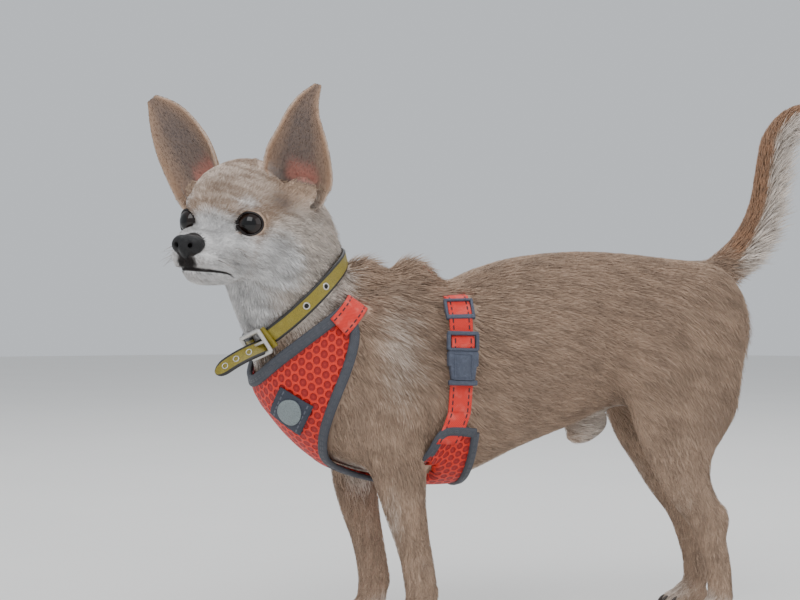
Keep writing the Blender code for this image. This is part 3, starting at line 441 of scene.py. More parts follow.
def evened(points, edges, rounds, weight=None):
    """Points drawn towards their neighbours' middle and part of the way back, so that facets go and size stays."""
    count = np.bincount(edges.ravel(), minlength=len(points))[:, None]
    weight = 1.0 if weight is None else weight[:, None]
    for step in range(2 * rounds):
        total = np.zeros_like(points)
        for axis in range(3):
            total[:, axis] = np.bincount(edges[:, 0], points[edges[:, 1], axis], len(points))
            total[:, axis] += np.bincount(edges[:, 1], points[edges[:, 0], axis], len(points))
        pull = 0.55 if step % 2 == 0 else -0.56
        points = points + weight * pull * (total / np.maximum(count, 1) - points)
    return points


def smooth_rows(rows, rounds):
    """Even out a line of points where it is, with its ends kept."""
    for _ in range(rounds):
        rows[1:-1] = (rows[:-2] + 2 * rows[1:-1] + rows[2:]) / 4


def run_along(path):
    """How far along a path each of its points is."""
    return np.concatenate([[0], np.cumsum(lengths(np.diff(path, axis=0)))])


def tree_of(*meshes):
    """A search tree over meshes, in the world's metres."""
    bm = merged(*meshes)
    tree = BVHTree.FromBMesh(bm)
    bm.free()
    return tree


def nearest(tree, points):
    """The nearest places on a surface and its normals there."""
    places, normals = np.empty_like(points), np.empty_like(points)
    world = (points + SHIFT) * MM
    for i, point in enumerate(world.tolist()):
        place_there, normal, _, _ = tree.find_nearest(point)
        places[i] = place_there
        normals[i] = normal
    return places / MM - SHIFT, normals


def attribute(mesh, name, values):
    """Store one number for each point of a mesh."""
    layer = mesh.attributes.get(name) or mesh.attributes.new(name, "FLOAT", "POINT")
    layer.data.foreach_set("value", np.asarray(values, np.float32))


def feed(tree, socket, value):
    """Give a socket a value, or a link from another socket."""
    if isinstance(value, bpy.types.NodeSocket):
        tree.links.new(value, socket)
    else:
        socket.default_value = value


def add(tree, kind, inputs=None, **settings):
    """A shader node with these settings. An input is a value, or a socket to link from."""
    node = tree.nodes.new("ShaderNode" + kind)
    for name, value in settings.items():
        setattr(node, name, value)
    for name, value in (inputs or {}).items():
        feed(tree, node.inputs[name], value)
    return node


def maths(tree, operation, a, b=0.0, c=0.0):
    """The result of a Math node."""
    return add(tree, "Math", {0: a, 1: b, 2: c}, operation=operation).outputs[0]


def mix(tree, share, a, b, blend="MIX"):
    """The colour between two colours."""
    return add(tree, "Mix", {0: share, 6: a, 7: b}, data_type="RGBA", blend_type=blend).outputs[2]


def clouds(tree, scale, detail=2.0):
    """A soft noise over the object."""
    where = add(tree, "TexCoord").outputs["Object"]
    return add(tree, "TexNoise", {"Vector": where, "Scale": scale, "Detail": detail}).outputs["Fac"]


def cloth_place(tree):
    """The place on a cloth: along it and across it, in metres."""
    return add(tree, "SeparateXYZ", {0: add(tree, "UVMap", uv_map="Cloth").outputs[0]}).outputs


def swayed(tree, base, value, amount):
    """A base value, moved by how far another value is from one half."""
    return maths(tree, "MULTIPLY_ADD", maths(tree, "SUBTRACT", value, 0.5), amount, base)


def ramp(tree, value, low, high, start=0.0, end=1.0):
    """A smooth ramp of a value."""
    inputs = {"Value": value, "From Min": low, "From Max": high, "To Min": start, "To Max": end}
    return add(tree, "MapRange", inputs, interpolation_type="SMOOTHSTEP").outputs[0]


def group(name, inputs, outputs):
    """A new shader node group, its input node's outputs and its output node."""
    tree = bpy.data.node_groups.new(name, "ShaderNodeTree")
    for label, kind, value in inputs:
        socket = tree.interface.new_socket(label, in_out="INPUT", socket_type="NodeSocket" + kind)
        socket.default_value = value
    for label, kind in outputs:
        tree.interface.new_socket(label, in_out="OUTPUT", socket_type="NodeSocket" + kind)
    start = tree.nodes.new("NodeGroupInput")
    end = tree.nodes.new("NodeGroupOutput")
    return tree, start.outputs, end.inputs


def placed(tree, name, **inputs):
    """A group placed in a tree. Its inputs are named with underscores for spaces."""
    node = tree.nodes.new("ShaderNodeGroup")
    node.node_tree = bpy.data.node_groups[name]
    for label, value in inputs.items():
        feed(tree, node.inputs[label.replace("_", " ")], value)
    return node.outputs


def finish_material(name, roughness=0.5, metallic=0.0, **values):
    """A material with its tree and its Principled shader."""
    material = bpy.data.materials.new(name)
    material.use_nodes = True
    tree = material.node_tree
    shader = tree.nodes["Principled BSDF"]
    shader.inputs["Roughness"].default_value = roughness
    shader.inputs["Metallic"].default_value = metallic
    for label, value in values.items():
        shader.inputs[label.replace("_", " ")].default_value = value
    return material, tree, shader


def bump(tree, shader, height, strength, distance):
    """Feed a height to the shader's normal."""
    node = add(tree, "Bump", {"Height": height, "Strength": strength, "Distance": distance})
    tree.links.new(node.outputs[0], shader.inputs["Normal"])


def group_material(name, group_name, roughness, relief=(0.6, 0.0003), shine=None, **values):
    """A material whose colour, roughness and height come from one group."""
    material, tree, shader = finish_material(name, roughness, **(shine or {}))
    made = placed(tree, group_name, **values)
    tree.links.new(made["Colour"], shader.inputs["Base Color"])
    tree.links.new(made["Roughness"], shader.inputs["Roughness"])
    if relief:
        bump(tree, shader, made["Height"], *relief)
    return material


def make_groups():
    """The effects that more than one material uses."""
    tree, given, out = group(
        "Coat colours",
        [(label, "Color", (0.5, 0.5, 0.5, 1)) for label in HAIR]
        + [("Strand", "Float", 0.5), ("Spread", "Float", 0.3)],
        [("Colour", "Color")],
    )
    cloud = clouds(tree, 55.0, 3.0)
    colour_now = given["Fawn"]
    for label in HAIR[1:]:
        mask = add(tree, "Attribute", attribute_name=label.lower()).outputs["Fac"]
        uneven = swayed(tree, mask, swayed(tree, given["Strand"], cloud, 0.45), 0.34)
        share = ramp(tree, uneven, 0.14, 0.86)
        share = maths(tree, "MULTIPLY", share, ramp(tree, mask, 0.0, 0.12))
        colour_now = mix(tree, share, colour_now, given[label])
    # The strand's level carries the tufts' painted shade towards their roots
    level = swayed(tree, 1.0, given["Strand"], given["Spread"])
    level = maths(tree, "MULTIPLY", level, ramp(tree, cloud, 0.25, 0.75, 0.9, 1.08))
    grey = add(tree, "CombineColor", {0: level, 1: level, 2: level}).outputs[0]
    tree.links.new(mix(tree, 1.0, colour_now, grey, "MULTIPLY"), out["Colour"])

    tree, given, out = group(
        "Woven webbing",
        [
            ("Colour", "Color", (1, 0, 0, 1)), ("Stitch", "Color", (0, 0, 0, 1)), ("Width", "Float", 0.015),
            ("Deep", "Color", (0.12, 0, 0, 1)), ("Worn", "Color", (1, 0.42, 0.33, 1)),
        ],
        [("Colour", "Color"), ("Height", "Float"), ("Roughness", "Float")],
    )
    where = cloth_place(tree)
    ribs = maths(tree, "SINE", maths(tree, "MULTIPLY", where[0], 2 * math.pi / 0.0011))
    wale = maths(tree, "SINE", maths(tree, "MULTIPLY", where[1], 2 * math.pi / 0.0014))
    weave = maths(tree, "MULTIPLY", ribs, wale)
    across = maths(tree, "ABSOLUTE", where[1])
    from_edge = maths(tree, "SUBTRACT", maths(tree, "MULTIPLY", given["Width"], 0.5), across)
    off_line = maths(tree, "ABSOLUTE", maths(tree, "SUBTRACT", from_edge, 0.0024))
    line = maths(tree, "SUBTRACT", 1.0, ramp(tree, off_line, 0.0003, 0.0006))
    dash = ramp(tree, maths(tree, "PINGPONG", where[0], 0.0021), 0.0006, 0.0009)
    stitch = maths(tree, "MULTIPLY", line, dash)
    # Painted shade: the low parts of the weave are mixed towards the darker colour
    shade = mix(tree, ramp(tree, weave, -1.0, 1.0, 0.0, 0.38), given["Colour"], given["Deep"])
    shade = mix(tree, ramp(tree, clouds(tree, 160.0, 4.0), 0.45, 0.8, 0.0, 0.25), shade, given["Worn"])
    tree.links.new(mix(tree, stitch, shade, given["Stitch"]), out["Colour"])
    tree.links.new(maths(tree, "MULTIPLY_ADD", stitch, 1.6, weave), out["Height"])
    tree.links.new(ramp(tree, stitch, 0.0, 1.0, 0.62, 0.4), out["Roughness"])

    tree, given, out = group(
        "Grain",
        [("Colour", "Color", (0.5, 0.5, 0.5, 1)), ("Worn", "Color", (0.8, 0.8, 0.8, 1)), ("Scale", "Float", 900.0)],
        [("Colour", "Color"), ("Height", "Float"), ("Roughness", "Float")],
    )
    where = add(tree, "TexCoord").outputs["Object"]
    cells = add(tree, "TexVoronoi", {"Vector": where, "Scale": given["Scale"]}, feature="DISTANCE_TO_EDGE")
    cloud = clouds(tree, maths(tree, "MULTIPLY", given["Scale"], 0.15), 5.0)
    height = ramp(tree, cells.outputs[0], 0.0, 0.25)
    shade = mix(tree, ramp(tree, cloud, 0.45, 0.75, 0.0, 0.5), given["Colour"], given["Worn"])
    tree.links.new(mix(tree, ramp(tree, height, 0.0, 1.0, 0.35, 0.0), shade, (0.0, 0.0, 0.0, 1)), out["Colour"])
    tree.links.new(height, out["Height"])
    tree.links.new(ramp(tree, cloud, 0.3, 0.7, 0.3, 0.55), out["Roughness"])


def coat_material(name, strand_attribute, roughness):
    """Hair or skin in the dog's markings, with painted shade and highlight laid in."""
    coat = bpy.context.scene.dog_coat
    material, tree, shader = finish_material(name, roughness, Specular_IOR_Level=0.25)
    if strand_attribute:
        strand = add(tree, "Attribute", attribute_name="strand").outputs["Fac"]
    else:
        strand = clouds(tree, 700.0, 3.0)
    shades = {label: tuple(getattr(coat, label.lower())) for label in HAIR}
    made = placed(tree, "Coat colours", Strand=strand, Spread=0.55 if strand_attribute else 0.35, **shades)
    tree.links.new(made["Colour"], shader.inputs["Base Color"])
    if not strand_attribute:
        bump(tree, shader, strand, 0.35, 0.0006)
    return material


# How the coat lies, in the dog's frame: x, distance from the middle and z, then the hair's way (3), length, rise,
# width and depth
BODY_GUIDES = np.array([
    (-78, 12, 262, 0.7, 0.1, -0.7, 7, 0.08, 0.46, 1.4),
    (-62, 12, 247, 0.8, 0.1, -0.5, 11, 0.2, 0.55, 2.0),
    (-50, 6, 240, 0.9, 0.1, 0.1, 13, 0.36, 0.6, 2.2),
    (-32, 6, 246, 0.95, 0.1, 0.0, 13, 0.26, 0.6, 2.2),
    (-30, 26, 234, 0.9, 0.1, -0.4, 13, 0.2, 0.6, 2.2),
    (-80, 36, 225, 0.45, 0.0, -0.9, 8, 0.08, 0.46, 1.5),
    (-100, 20, 232, 0.1, 0.1, -1.0, 9, 0.1, 0.48, 1.6),
    (-108, 2, 232, -0.1, 0.0, -1.0, 10, 0.15, 0.5, 1.8),
    (-95, 10, 205, 0.0, 0.1, -1.0, 12, 0.2, 0.55, 2.0),
    (-88, 8, 175, 0.2, 0.2, -1.0, 10, 0.12, 0.55, 1.6),
    (-60, 38, 195, 0.5, 0.0, -0.85, 10, 0.1, 0.5, 1.6),
    (-35, 46, 180, 0.55, 0.0, -0.8, 9, 0.07, 0.5, 1.4),
    (-20, 48, 215, 0.85, 0.1, -0.45, 10, 0.09, 0.5, 1.6),
    (-5, 12, 246, 1.0, 0.1, 0.0, 13, 0.25, 0.6, 2.2),
    (10, 24, 240, 1.0, 0.1, -0.3, 13, 0.2, 0.6, 2.2),
    (24, 10, 246, 1.0, 0.1, -0.05, 13, 0.2, 0.6, 2.0),
    (10, 48, 190, 0.8, 0.0, -0.55, 10, 0.07, 0.5, 1.5),
    (60, 10, 246, 1.0, 0.1, -0.05, 10, 0.06, 0.5, 1.4),
    (80, 45, 215, 0.98, 0.0, -0.15, 9, 0.05, 0.48, 1.4),
    (80, 49, 175, 0.95, 0.0, -0.27, 9, 0.05, 0.48, 1.4),
    (70, 38, 132, 0.9, 0.0, -0.4, 9, 0.06, 0.48, 1.4),
    (60, 4, 104, 1.0, 0.1, -0.1, 8, 0.06, 0.48, 1.2),
    (130, 4, 130, 0.9, 0.1, -0.1, 8, 0.12, 0.48, 1.2),
    (145, 30, 230, 0.97, 0.1, -0.2, 9, 0.05, 0.48, 1.4),
    (145, 40, 195, 0.93, 0.0, -0.33, 9, 0.05, 0.48, 1.4),
    (145, 36, 160, 0.86, 0.0, -0.5, 9, 0.07, 0.48, 1.4),
    (205, 12, 240, 0.88, 0.15, -0.4, 9, 0.07, 0.48, 1.4),
    (205, 40, 200, 0.66, 0.0, -0.74, 9, 0.05, 0.48, 1.4),
    (190, 44, 160, 0.5, 0.0, -0.86, 9, 0.05, 0.48, 1.3),
    (240, 12, 200, 0.4, 0.3, -0.85, 13, 0.22, 0.55, 1.8),
    (232, 30, 165, 0.5, 0.1, -0.85, 12, 0.18, 0.55, 1.6),
    (225, 12, 170, 0.1, 0.0, -1.0, 11, 0.18, 0.5, 1.6),
    (190, 38, 118, 0.35, 0.0, -0.94, 7, 0.05, 0.44, 1.1),
    (203, 40, 88, 0.35, 0.0, -0.94, 6, 0.05, 0.42, 0.9),
    (214, 38, 60, 0.1, 0.0, -1.0, 5, 0.05, 0.4, 0.7),
    (216, 40, 35, 0.05, 0.0, -1.0, 4.5, 0.05, 0.4, 0.6),
    (205, 36, 10, -0.75, 0.0, -0.65, 3.6, 0.08, 0.38, 0.5),
    (-25, 44, 140, 0.2, 0.0, -0.98, 8, 0.06, 0.48, 1.2),
    (2, 40, 125, 0.4, 0.1, -0.9, 10, 0.12, 0.5, 1.3),
    (-8, 42, 85, 0.1, 0.0, -1.0, 6, 0.05, 0.44, 1.0),
    (6, 40, 80, 0.3, 0.0, -0.95, 7, 0.1, 0.44, 1.0),
    (2, 38, 48, 0.05, 0.0, -1.0, 4.5, 0.05, 0.4, 0.7),
    (2, 38, 28, 0.0, 0.0, -1.0, 4.5, 0.05, 0.4, 0.6),
    (-12, 34, 10, -0.75, 0.0, -0.65, 3.6, 0.08, 0.38, 0.5),
], float)

# Head's frame: the same columns
HEAD_GUIDES = np.array([
    (36, 0, -7, -1, 0, 0.2, 1.5, 0.06, 0.29, 0.3),
    (24, 0, -4, -1, 0, 0.3, 2.3, 0.07, 0.3, 0.4),
    (14, 0, 2, -0.75, 0, 0.66, 2.8, 0.07, 0.34, 0.5),
    (28, 12, -18, -0.9, 0.25, -0.3, 2.5, 0.09, 0.3, 0.4),
    (33, 8, -25, -0.7, 0.25, -0.6, 2.5, 0.12, 0.3, 0.45),
    (16, 17, -22, -0.9, 0.2, -0.4, 3.4, 0.08, 0.34, 0.5),
    (26, 4, -35, -0.85, 0.1, -0.5, 4.8, 0.15, 0.35, 0.6),
    (8, 16, -37, -0.85, 0.1, -0.5, 5.5, 0.12, 0.42, 0.8),
    (-24, 36, 18, -0.6, 0.2, 0.7, 3.4, 0.06, 0.36, 0.5),
    (4, 0, 28, -0.85, 0, 0.5, 4, 0.07, 0.38, 0.6),
    (-20, 8, 40, -1, 0.05, 0.05, 5.1, 0.08, 0.42, 0.9),
    (-45, 0, 32, -0.85, 0, -0.5, 6.8, 0.1, 0.46, 1.1),
    (8, 14, 16, -0.5, 0.35, 0.8, 3, 0.07, 0.32, 0.4),
    (8, 30, 8, -0.75, 0.3, 0.55, 3.2, 0.07, 0.34, 0.4),
    (-8, 32, 14, -0.85, 0.1, 0.45, 4.8, 0.08, 0.38, 0.7),
    (10, 26, -12, -0.85, 0.25, -0.35, 3.2, 0.07, 0.34, 0.4),
    (14, 10, -8, -0.9, 0.3, -0.1, 2.7, 0.07, 0.32, 0.4),
    (-12, 33, -14, -0.85, 0, -0.5, 6, 0.09, 0.42, 0.9),
    (-30, 30, -20, -0.75, 0, -0.65, 8.5, 0.12, 0.5, 1.3),
    (-40, 30, 2, -0.8, 0, -0.6, 8.5, 0.12, 0.5, 1.3),
    (-10, 6, -42, -0.65, 0.1, -0.75, 7.6, 0.12, 0.5, 1.2),
], float)

# Down the tail: x, z and half width, wide where it leaves the croup
TAIL_CORE = [
    (202, 214, 14), (214, 225, 12.5), (229, 238, 10.4), (247, 255, 8.5), (259, 279, 7.3), (264, 303, 7.1),
    (269, 327, 6.9), (283, 343, 6.2), (303, 349, 4.6), (324, 345, 1.6),
]
TAIL_PATH = curve_rows(np.array(TAIL_CORE)[1:, :2], 6)

# Markings, with painted shade and a painted highlight among them: mask, frame (d dog, h head), centre, radii,
# softness, strength. A middle distance of 0 or more counts on both sides of the body.
MARKS = [
    ("sable", "d", (120, 0, 262), (130, 34, 38), 0.8, 0.42),
    ("sable", "d", (-5, 0, 262), (45, 26, 26), 0.8, 0.3),
    ("sable", "d", (235, 0, 250), (40, 24, 26), 0.8, 0.5),
    ("cream", "d", (-14, 50, 192), (32, 40, 78), 1.0, 0.5),
    # Painted highlight: cream lightens the top of the back, where the light from above falls
    ("cream", "d", (-38, 0, 248), (26, 24, 14), 0.9, 0.5),
    ("cream", "d", (5, 0, 256), (26, 24, 14), 0.9, 0.35),
    ("cream", "d", (-74, 0, 238), (46, 80, 70), 0.45, 0.95),
    ("cream", "d", (80, 0, 100), (120, 34, 42), 0.8, 0.8),
    ("cream", "d", (150, 0, 136), (60, 26, 40), 0.8, 0.85),
    ("cream", "d", (-20, 12, 110), (50, 20, 50), 0.8, 0.8),
    ("cream", "d", (215, 16, 120), (40, 18, 60), 0.8, 0.7),
    ("cream", "d", (248, 10, 182), (15, 36, 46), 0.9, 0.85),
    ("cream", "d", (-16, 36, 72), (11, 20, 70), 1.0, 0.42),
    ("cream", "d", (184, 34, 84), (14, 20, 56), 1.0, 0.32),
    ("cream", "d", (0, 30, 12), (30, 20, 22), 0.9, 0.6),
    ("cream", "d", (208, 34, 12), (34, 20, 22), 0.9, 0.6),
    ("white", "d", (-112, -4, 220), (44, 70, 62), 0.6, 0.95),
    # Painted shade: grey darkens the lower flank, behind the elbow, the thigh and the lower legs, away from the
    # light above
    ("grey", "d", (95, 54, 160), (120, 24, 34), 0.9, 0.3),
    ("grey", "d", (205, 46, 135), (34, 22, 50), 0.9, 0.3),
    ("grey", "d", (-42, 48, 150), (20, 20, 34), 0.9, 0.3),
    ("grey", "d", (6, 44, 82), (10, 14, 44), 0.9, 0.3),
    ("grey", "d", (4, 38, 50), (10, 10, 12), 0.9, 0.35),
    ("grey", "d", (222, 42, 78), (13, 14, 46), 0.9, 0.45),
    ("white", "h", (14, 0, -18), (36, 43, 33), 0.5, 0.95),
    ("white", "h", (-12, 27, -22), (32, 26, 28), 0.6, 0.85),
    ("white", "h", (6, 20, 12), (14, 18, 9), 1.0, 0.6),
    ("white", "h", (-6, 0, -42), (44, 30, 16), 0.8, 1.0),
    ("cream", "h", (-8, 0, 16), (40, 46, 34), 0.6, 0.5),
    ("cream", "h", (-24, 30, -14), (34, 22, 34), 0.7, 0.9),
    ("sable", "h", (-34, 33, -10), (6, 14, 32), 0.9, 0.7),
    ("sable", "h", (-4, 0, 34), (22, 17, 13), 0.9, 0.3),
    # Painted shade: grey on the temples, under the ear bases
    ("grey", "h", (-17, 30, 13), (28, 16, 15), 1.0, 0.5),
    ("grey", "h", (20, 0, -5), (13, 6, 7), 0.9, 0.2),
    ("dark", "h", (34, 0, -23), (8, 9.5, 8), 0.5, 0.95),
    ("dark", "h", (30, 7, -26.5), (9, 8, 2.6), 0.8, 0.55),
]


def blended(points, guides):
    """Guide values at points, weighted by nearness. A guide counts on both sides of the middle."""
    folded = np.column_stack([points[:, 0], np.abs(points[:, 1]), points[:, 2]])
    gap = ((folded[:, None] - guides[None, :, :3]) ** 2).sum(axis=2)
    weight = 1 / (gap + 16) ** 2
    values = (weight @ guides[:, 3:]) / weight.sum(axis=1, keepdims=True)
    values[:, 1] *= np.sign(points[:, 1])
    return values


def tail_lie(points):
    """Where each point is along the tail and round it: share, way of the tail, nearness to the tail."""
    path = np.column_stack([TAIL_PATH[:, 0], np.zeros(len(TAIL_PATH)), TAIL_PATH[:, 1]])
    gap = np.linalg.norm(points[:, None] - path[None], axis=2)
    index = gap.argmin(axis=1)
    way = rows_unit(np.gradient(path, axis=0))[index]
    share = index / (len(path) - 1)
    near = smoothstep(0.08, 0.22, share) * smoothstep(26, 14, gap.min(axis=1))
    return share, way, near, rows_unit(points - path[index])


def ear_lie(points, normals):
    """Ear coordinates: which ear's zone, share of its height, whether it faces in, and its axis."""
    head = to_head(points)
    turned = normals @ HEAD_TURN
    zone = np.zeros(len(points))
    share = np.zeros(len(points))
    inner = np.zeros(len(points))
    axis_of = np.zeros((len(points), 3))
    across_of = np.zeros(len(points))
    for side in (1, -1):
        base, tip = np.array(EAR_BASE[side], float), np.array(EAR_TIP[side], float)
        axis = rows_unit(tip - base)
        facing = np.array(EAR_FACING[side], float)
        facing = rows_unit(facing - axis * facing.dot(axis))
        across = np.cross(axis, facing)
        local = head - base
        height = local @ axis / np.linalg.norm(tip - base)
        rows = np.array(EAR_ROWS[side])
        half = np.interp(height, rows[:, 0], rows[:, 1])
        width = (local @ across - np.interp(height, rows[:, 0], rows[:, 2])) / half
        off = local @ facing
        inside = (height > 0.05) & (np.abs(width) < 1.3) & (off < 7) & (off > -18) & (head[:, 1] * side > 0)
        inside &= height < 1.1
        zone[inside] = side
        share[inside] = height[inside]
        inner[inside] = smoothstep(0.0, 0.3, (turned @ facing)[inside])
        axis_of[inside] = axis @ HEAD_TURN.T
        across_of[inside] = width[inside]
    return zone, share, inner, axis_of, across_of


def eye_axes(side):
    """An eye's centre, the way it looks and the way towards its outer corner, in the head's frame."""
    turn = math.radians(EYE_TURN)
    gaze = np.array((math.cos(turn), side * math.sin(turn), 0))
    return np.array((0, side * EYE_SIDE, 0.0)), gaze, np.array((-math.sin(turn), side * math.cos(turn), 0))


def lid_reach(away, gaze, outer):
    """How far a place lies from the middle of an eye's opening: 1 at the lids."""
    wide = away @ outer / EYE_OPENING[0]
    high = away[:, 2] / EYE_OPENING[1]
    wide = np.where(wide < 0, wide / EYE_CORNER, wide)
    high = np.where(high < 0, high / EYE_LOW, high) + EYE_DROP * smoothstep(-0.4, -1.1, wide)
    return np.where(away @ gaze > 0, np.hypot(wide, high), 9.0)


def headness(points):
    """How far a point belongs to the head, from 0 on the body to 1."""
    head = to_head(points)
    return smoothstep(-62, -40, head[:, 0]) * smoothstep(-62, -40, head[:, 2])


def lie_of(points, normals):
    """Way, length, rise, width and depth of the coat at points."""
    body = blended(points, BODY_GUIDES)
    head = blended(to_head(points), HEAD_GUIDES)
    head[:, :3] = head[:, :3] @ HEAD_TURN.T
    share = headness(points)[:, None]
    values = body * (1 - share) + head * share
    along, way, near, out = tail_lie(points)
    under = smoothstep(-0.2, 0.9, out[:, 0] * way[:, 2] - out[:, 2] * way[:, 0])
    tail = np.column_stack([
        way + out * (0.15 + 0.55 * under[:, None]),
        9 + 13 * under * smoothstep(0.0, 0.3, along) * smoothstep(1.05, 0.7, along),
        0.12 + 0.5 * under,
        np.full(len(points), 0.75),
        np.full(len(points), 2.2),
    ])
    values = values * (1 - near[:, None]) + tail * near[:, None]
    zone, _, inner, axis, _ = ear_lie(points, normals)
    on_ear = zone != 0
    hair = np.column_stack([
        axis + rows_unit(normals) * 0.05,
        np.where(inner > 0.5, 3.0, 3.6),
        np.where(inner > 0.5, 0.12, 0.05),
        np.full(len(points), 0.36),
        np.full(len(points), 0.2),
    ])
    values[on_ear] = hair[on_ear]
    values[:, :3] = rows_unit(values[:, :3])
    return values


def marks_of(points, normals):
    """Every mask of the markings, and of the painted shade and highlight, at points."""
    head = to_head(points)
    out = {label.lower(): np.zeros(len(points)) for label in HAIR[1:]}

    def lay(name, amount):
        out[name] = np.maximum(out[name], amount)

    for name, where, centre, radii, soft, strength in MARKS:
        local = points if where == "d" else head
        folded = local.copy()
        if centre[1] >= 0:
            folded[:, 1] = np.abs(folded[:, 1])
        reach = lengths((folded - np.array(centre)) / np.array(radii))
        share = smoothstep(1.0, 1.0 - soft, reach) * strength
        if where == "h":
            share = share * headness(points)
        lay(name, share)
    _, way, near, round_it = tail_lie(points)
    under = smoothstep(-0.3, 0.6, round_it[:, 0] * way[:, 2] - round_it[:, 2] * way[:, 0])
    out["cream"] = np.maximum(out["cream"] * (1 - near), near * under * 0.9)
    out["sable"] = np.maximum(out["sable"] * (1 - near * under), near * (1 - under) * 0.75)
    zone, height, inner, _, across = ear_lie(points, normals)
    on_ear = (zone != 0) * 1.0
    for name in ("cream", "white", "sable"):
        out[name] *= 1 - on_ear
    rim = smoothstep(0.78, 0.98, np.abs(across))
    lay("grey", on_ear * (1 - inner) * 0.4 * (1 - rim))
    # Painted shade inside the ear: grey, deepest in the middle of its hollow and lighter towards the rims and the
    # tip
    deep = 0.68 - 0.24 * smoothstep(0.3, 0.85, np.abs(across)) - 0.12 * smoothstep(0.6, 0.95, height)
    lay("grey", on_ear * inner * deep * (1 - rim))
    lay("sable", on_ear * inner * 0.5)
    lay("sable", on_ear * rim * 0.35)
    lay("cream", on_ear * inner * rim * smoothstep(0.9, 1.05, np.abs(across)) * 0.45)
    low = smoothstep(0.42, 0.12, height) * smoothstep(0.02, 0.12, height)
    out["pink"] = on_ear * inner * low * smoothstep(0.75, 0.3, np.abs(across - 0.15)) * 0.7
    tuft = smoothstep(0.3, 0.1, height) * smoothstep(-0.1, -0.5, across * np.sign(zone))
    tuft *= smoothstep(1.0, 0.85, np.abs(across))
    lay("white", on_ear * inner * tuft * 0.4)
    for side in (1, -1):
        centre, gaze, outer = eye_axes(side)
        away = head - centre
        reach = lid_reach(away, gaze, outer)
        rim = smoothstep(1.14, 1.04, reach) * (lengths(away) < 15)
        lay("dark", rim)
        # Painted shade in grey along the fold above the upper lid
        crease = smoothstep(1.24, 1.32, reach) * smoothstep(1.5, 1.4, reach) * smoothstep(0, 4, away[:, 2])
        lay("grey", crease * 0.45 * (lengths(away) < 17))
        for name in ("white", "cream"):
            out[name] *= 1 - rim
    gap, along = mouth_gap(head)
    lip = smoothstep(2.0, 0.9, gap + 0.9 * along) * smoothstep(1.02, 0.95, along)
    lay("dark", lip * 0.9)
    gap = lengths((head - np.array(NOSE)) / (1, 1.2, 1))
    lay("dark", smoothstep(9.4, 7.8, gap))
    philtrum = to_line(head, np.array([(36, 0, -18), (36, 0, -29)], float))
    lay("dark", smoothstep(2.2, 0.9, philtrum) * 0.95)
    return out


def mouth_gap(head):
    """How far each place of the muzzle is from the mouth's line, and its share of the way back."""
    line = np.array(MOUTH, float)[::-1]
    x = np.clip(head[:, 0], line[-1, 0], line[0, 0])
    level = np.interp(-x, -line[:, 0], line[:, 2])
    past = np.maximum(line[-1, 0] - head[:, 0], 0)
    gap = np.hypot(head[:, 2] - level, past)
    return gap, (line[0, 0] - head[:, 0]) / (line[0, 0] - line[-1, 0])


# What one piece leaves for the next, and the finishes of what the dog wears
MADE = {"clothes": []}
CLOTHES = ("air_mesh", "binding", "webbing", "buckle_plastic", "collar_leather")


def ridden(obj, slot=None, *nodes):
    """Set a piece on the dog, note it among the clothes when its slot is one of theirs, and hide the nodes that it
    stands for.
    """
    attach(obj, "root")
    if slot in CLOTHES:
        MADE["clothes"].append(obj)
    if nodes:
        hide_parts(*nodes)
    return obj


def cut_plane(mesh, above):
    """Cut a mesh at the collar's plane and keep one side, with a small lap for the other."""
    normal = Vector(COLLAR_NORMAL) * (-1 if above else 1)
    point = (Vector(COLLAR_CENTRE) + Vector(SHIFT)) * MM + normal * 1.5 * MM
    with edited(mesh) as bm:
        whole = [*bm.verts, *bm.edges, *bm.faces]
        bmesh.ops.bisect_plane(bm, geom=whole, plane_co=point, plane_no=normal, clear_outer=True)


def refine(mesh, chosen):
    """Split the faces round the chosen points once."""
    with edited(mesh) as bm:
        edges = [edge for edge in bm.edges if all(chosen[vertex.index] for vertex in edge.verts)]
        bmesh.ops.subdivide_edges(bm, edges=edges, cuts=1, use_grid_fill=True)


def head_skin(fineness):
    """The skin of head, ears and upper neck, with its lids and lips."""
    nodes = ["head", "neck", "ear_left", "ear_right", "eye_left", "eye_right", "nose"]
    obj = joined_nodes("head skin", nodes, 0.22)
    mesh = modified(obj, "REMESH", mode="VOXEL", voxel_size=fineness)
    cut_plane(mesh, above=True)
    head = to_head(coordinates(mesh))
    chosen = (head[:, 0] > 4) & (head[:, 2] < -8) & (head[:, 2] > -40)
    for side in (1, -1):
        chosen |= lengths(head - np.array((4, side * EYE_SIDE, 0))) < 14
    refine(mesh, chosen)
    points = coordinates(mesh)
    edges = edges_of(mesh)
    head = to_head(points)
    ear = np.zeros(len(points))
    for side in (1, -1):
        base, tip = np.array(EAR_BASE[side], float), np.array(EAR_TIP[side], float)
        height = (head - base) @ (tip - base) / ((tip - base) @ (tip - base))
        gap = lengths(head - base - np.clip(height, 0, 1)[:, None] * (tip - base))
        near_base = smoothstep(30, 22, gap) * smoothstep(0.42, 0.22, height) * smoothstep(-0.5, -0.3, height)
        ear = np.maximum(ear, near_base)
    points = evened(points, edges, 5)
    points = evened(points, edges, 10, ear)
    near_mouth = np.zeros(len(points))
    line = curve_rows(MOUTH, 4)
    for sign in (1, -1):
        near_mouth = np.maximum(near_mouth, smoothstep(5.5, 3.5, to_line(to_head(points), line * (1, sign, 1))))
    points = evened(points, edges, 14, near_mouth)
    place(mesh, points)
    return obj


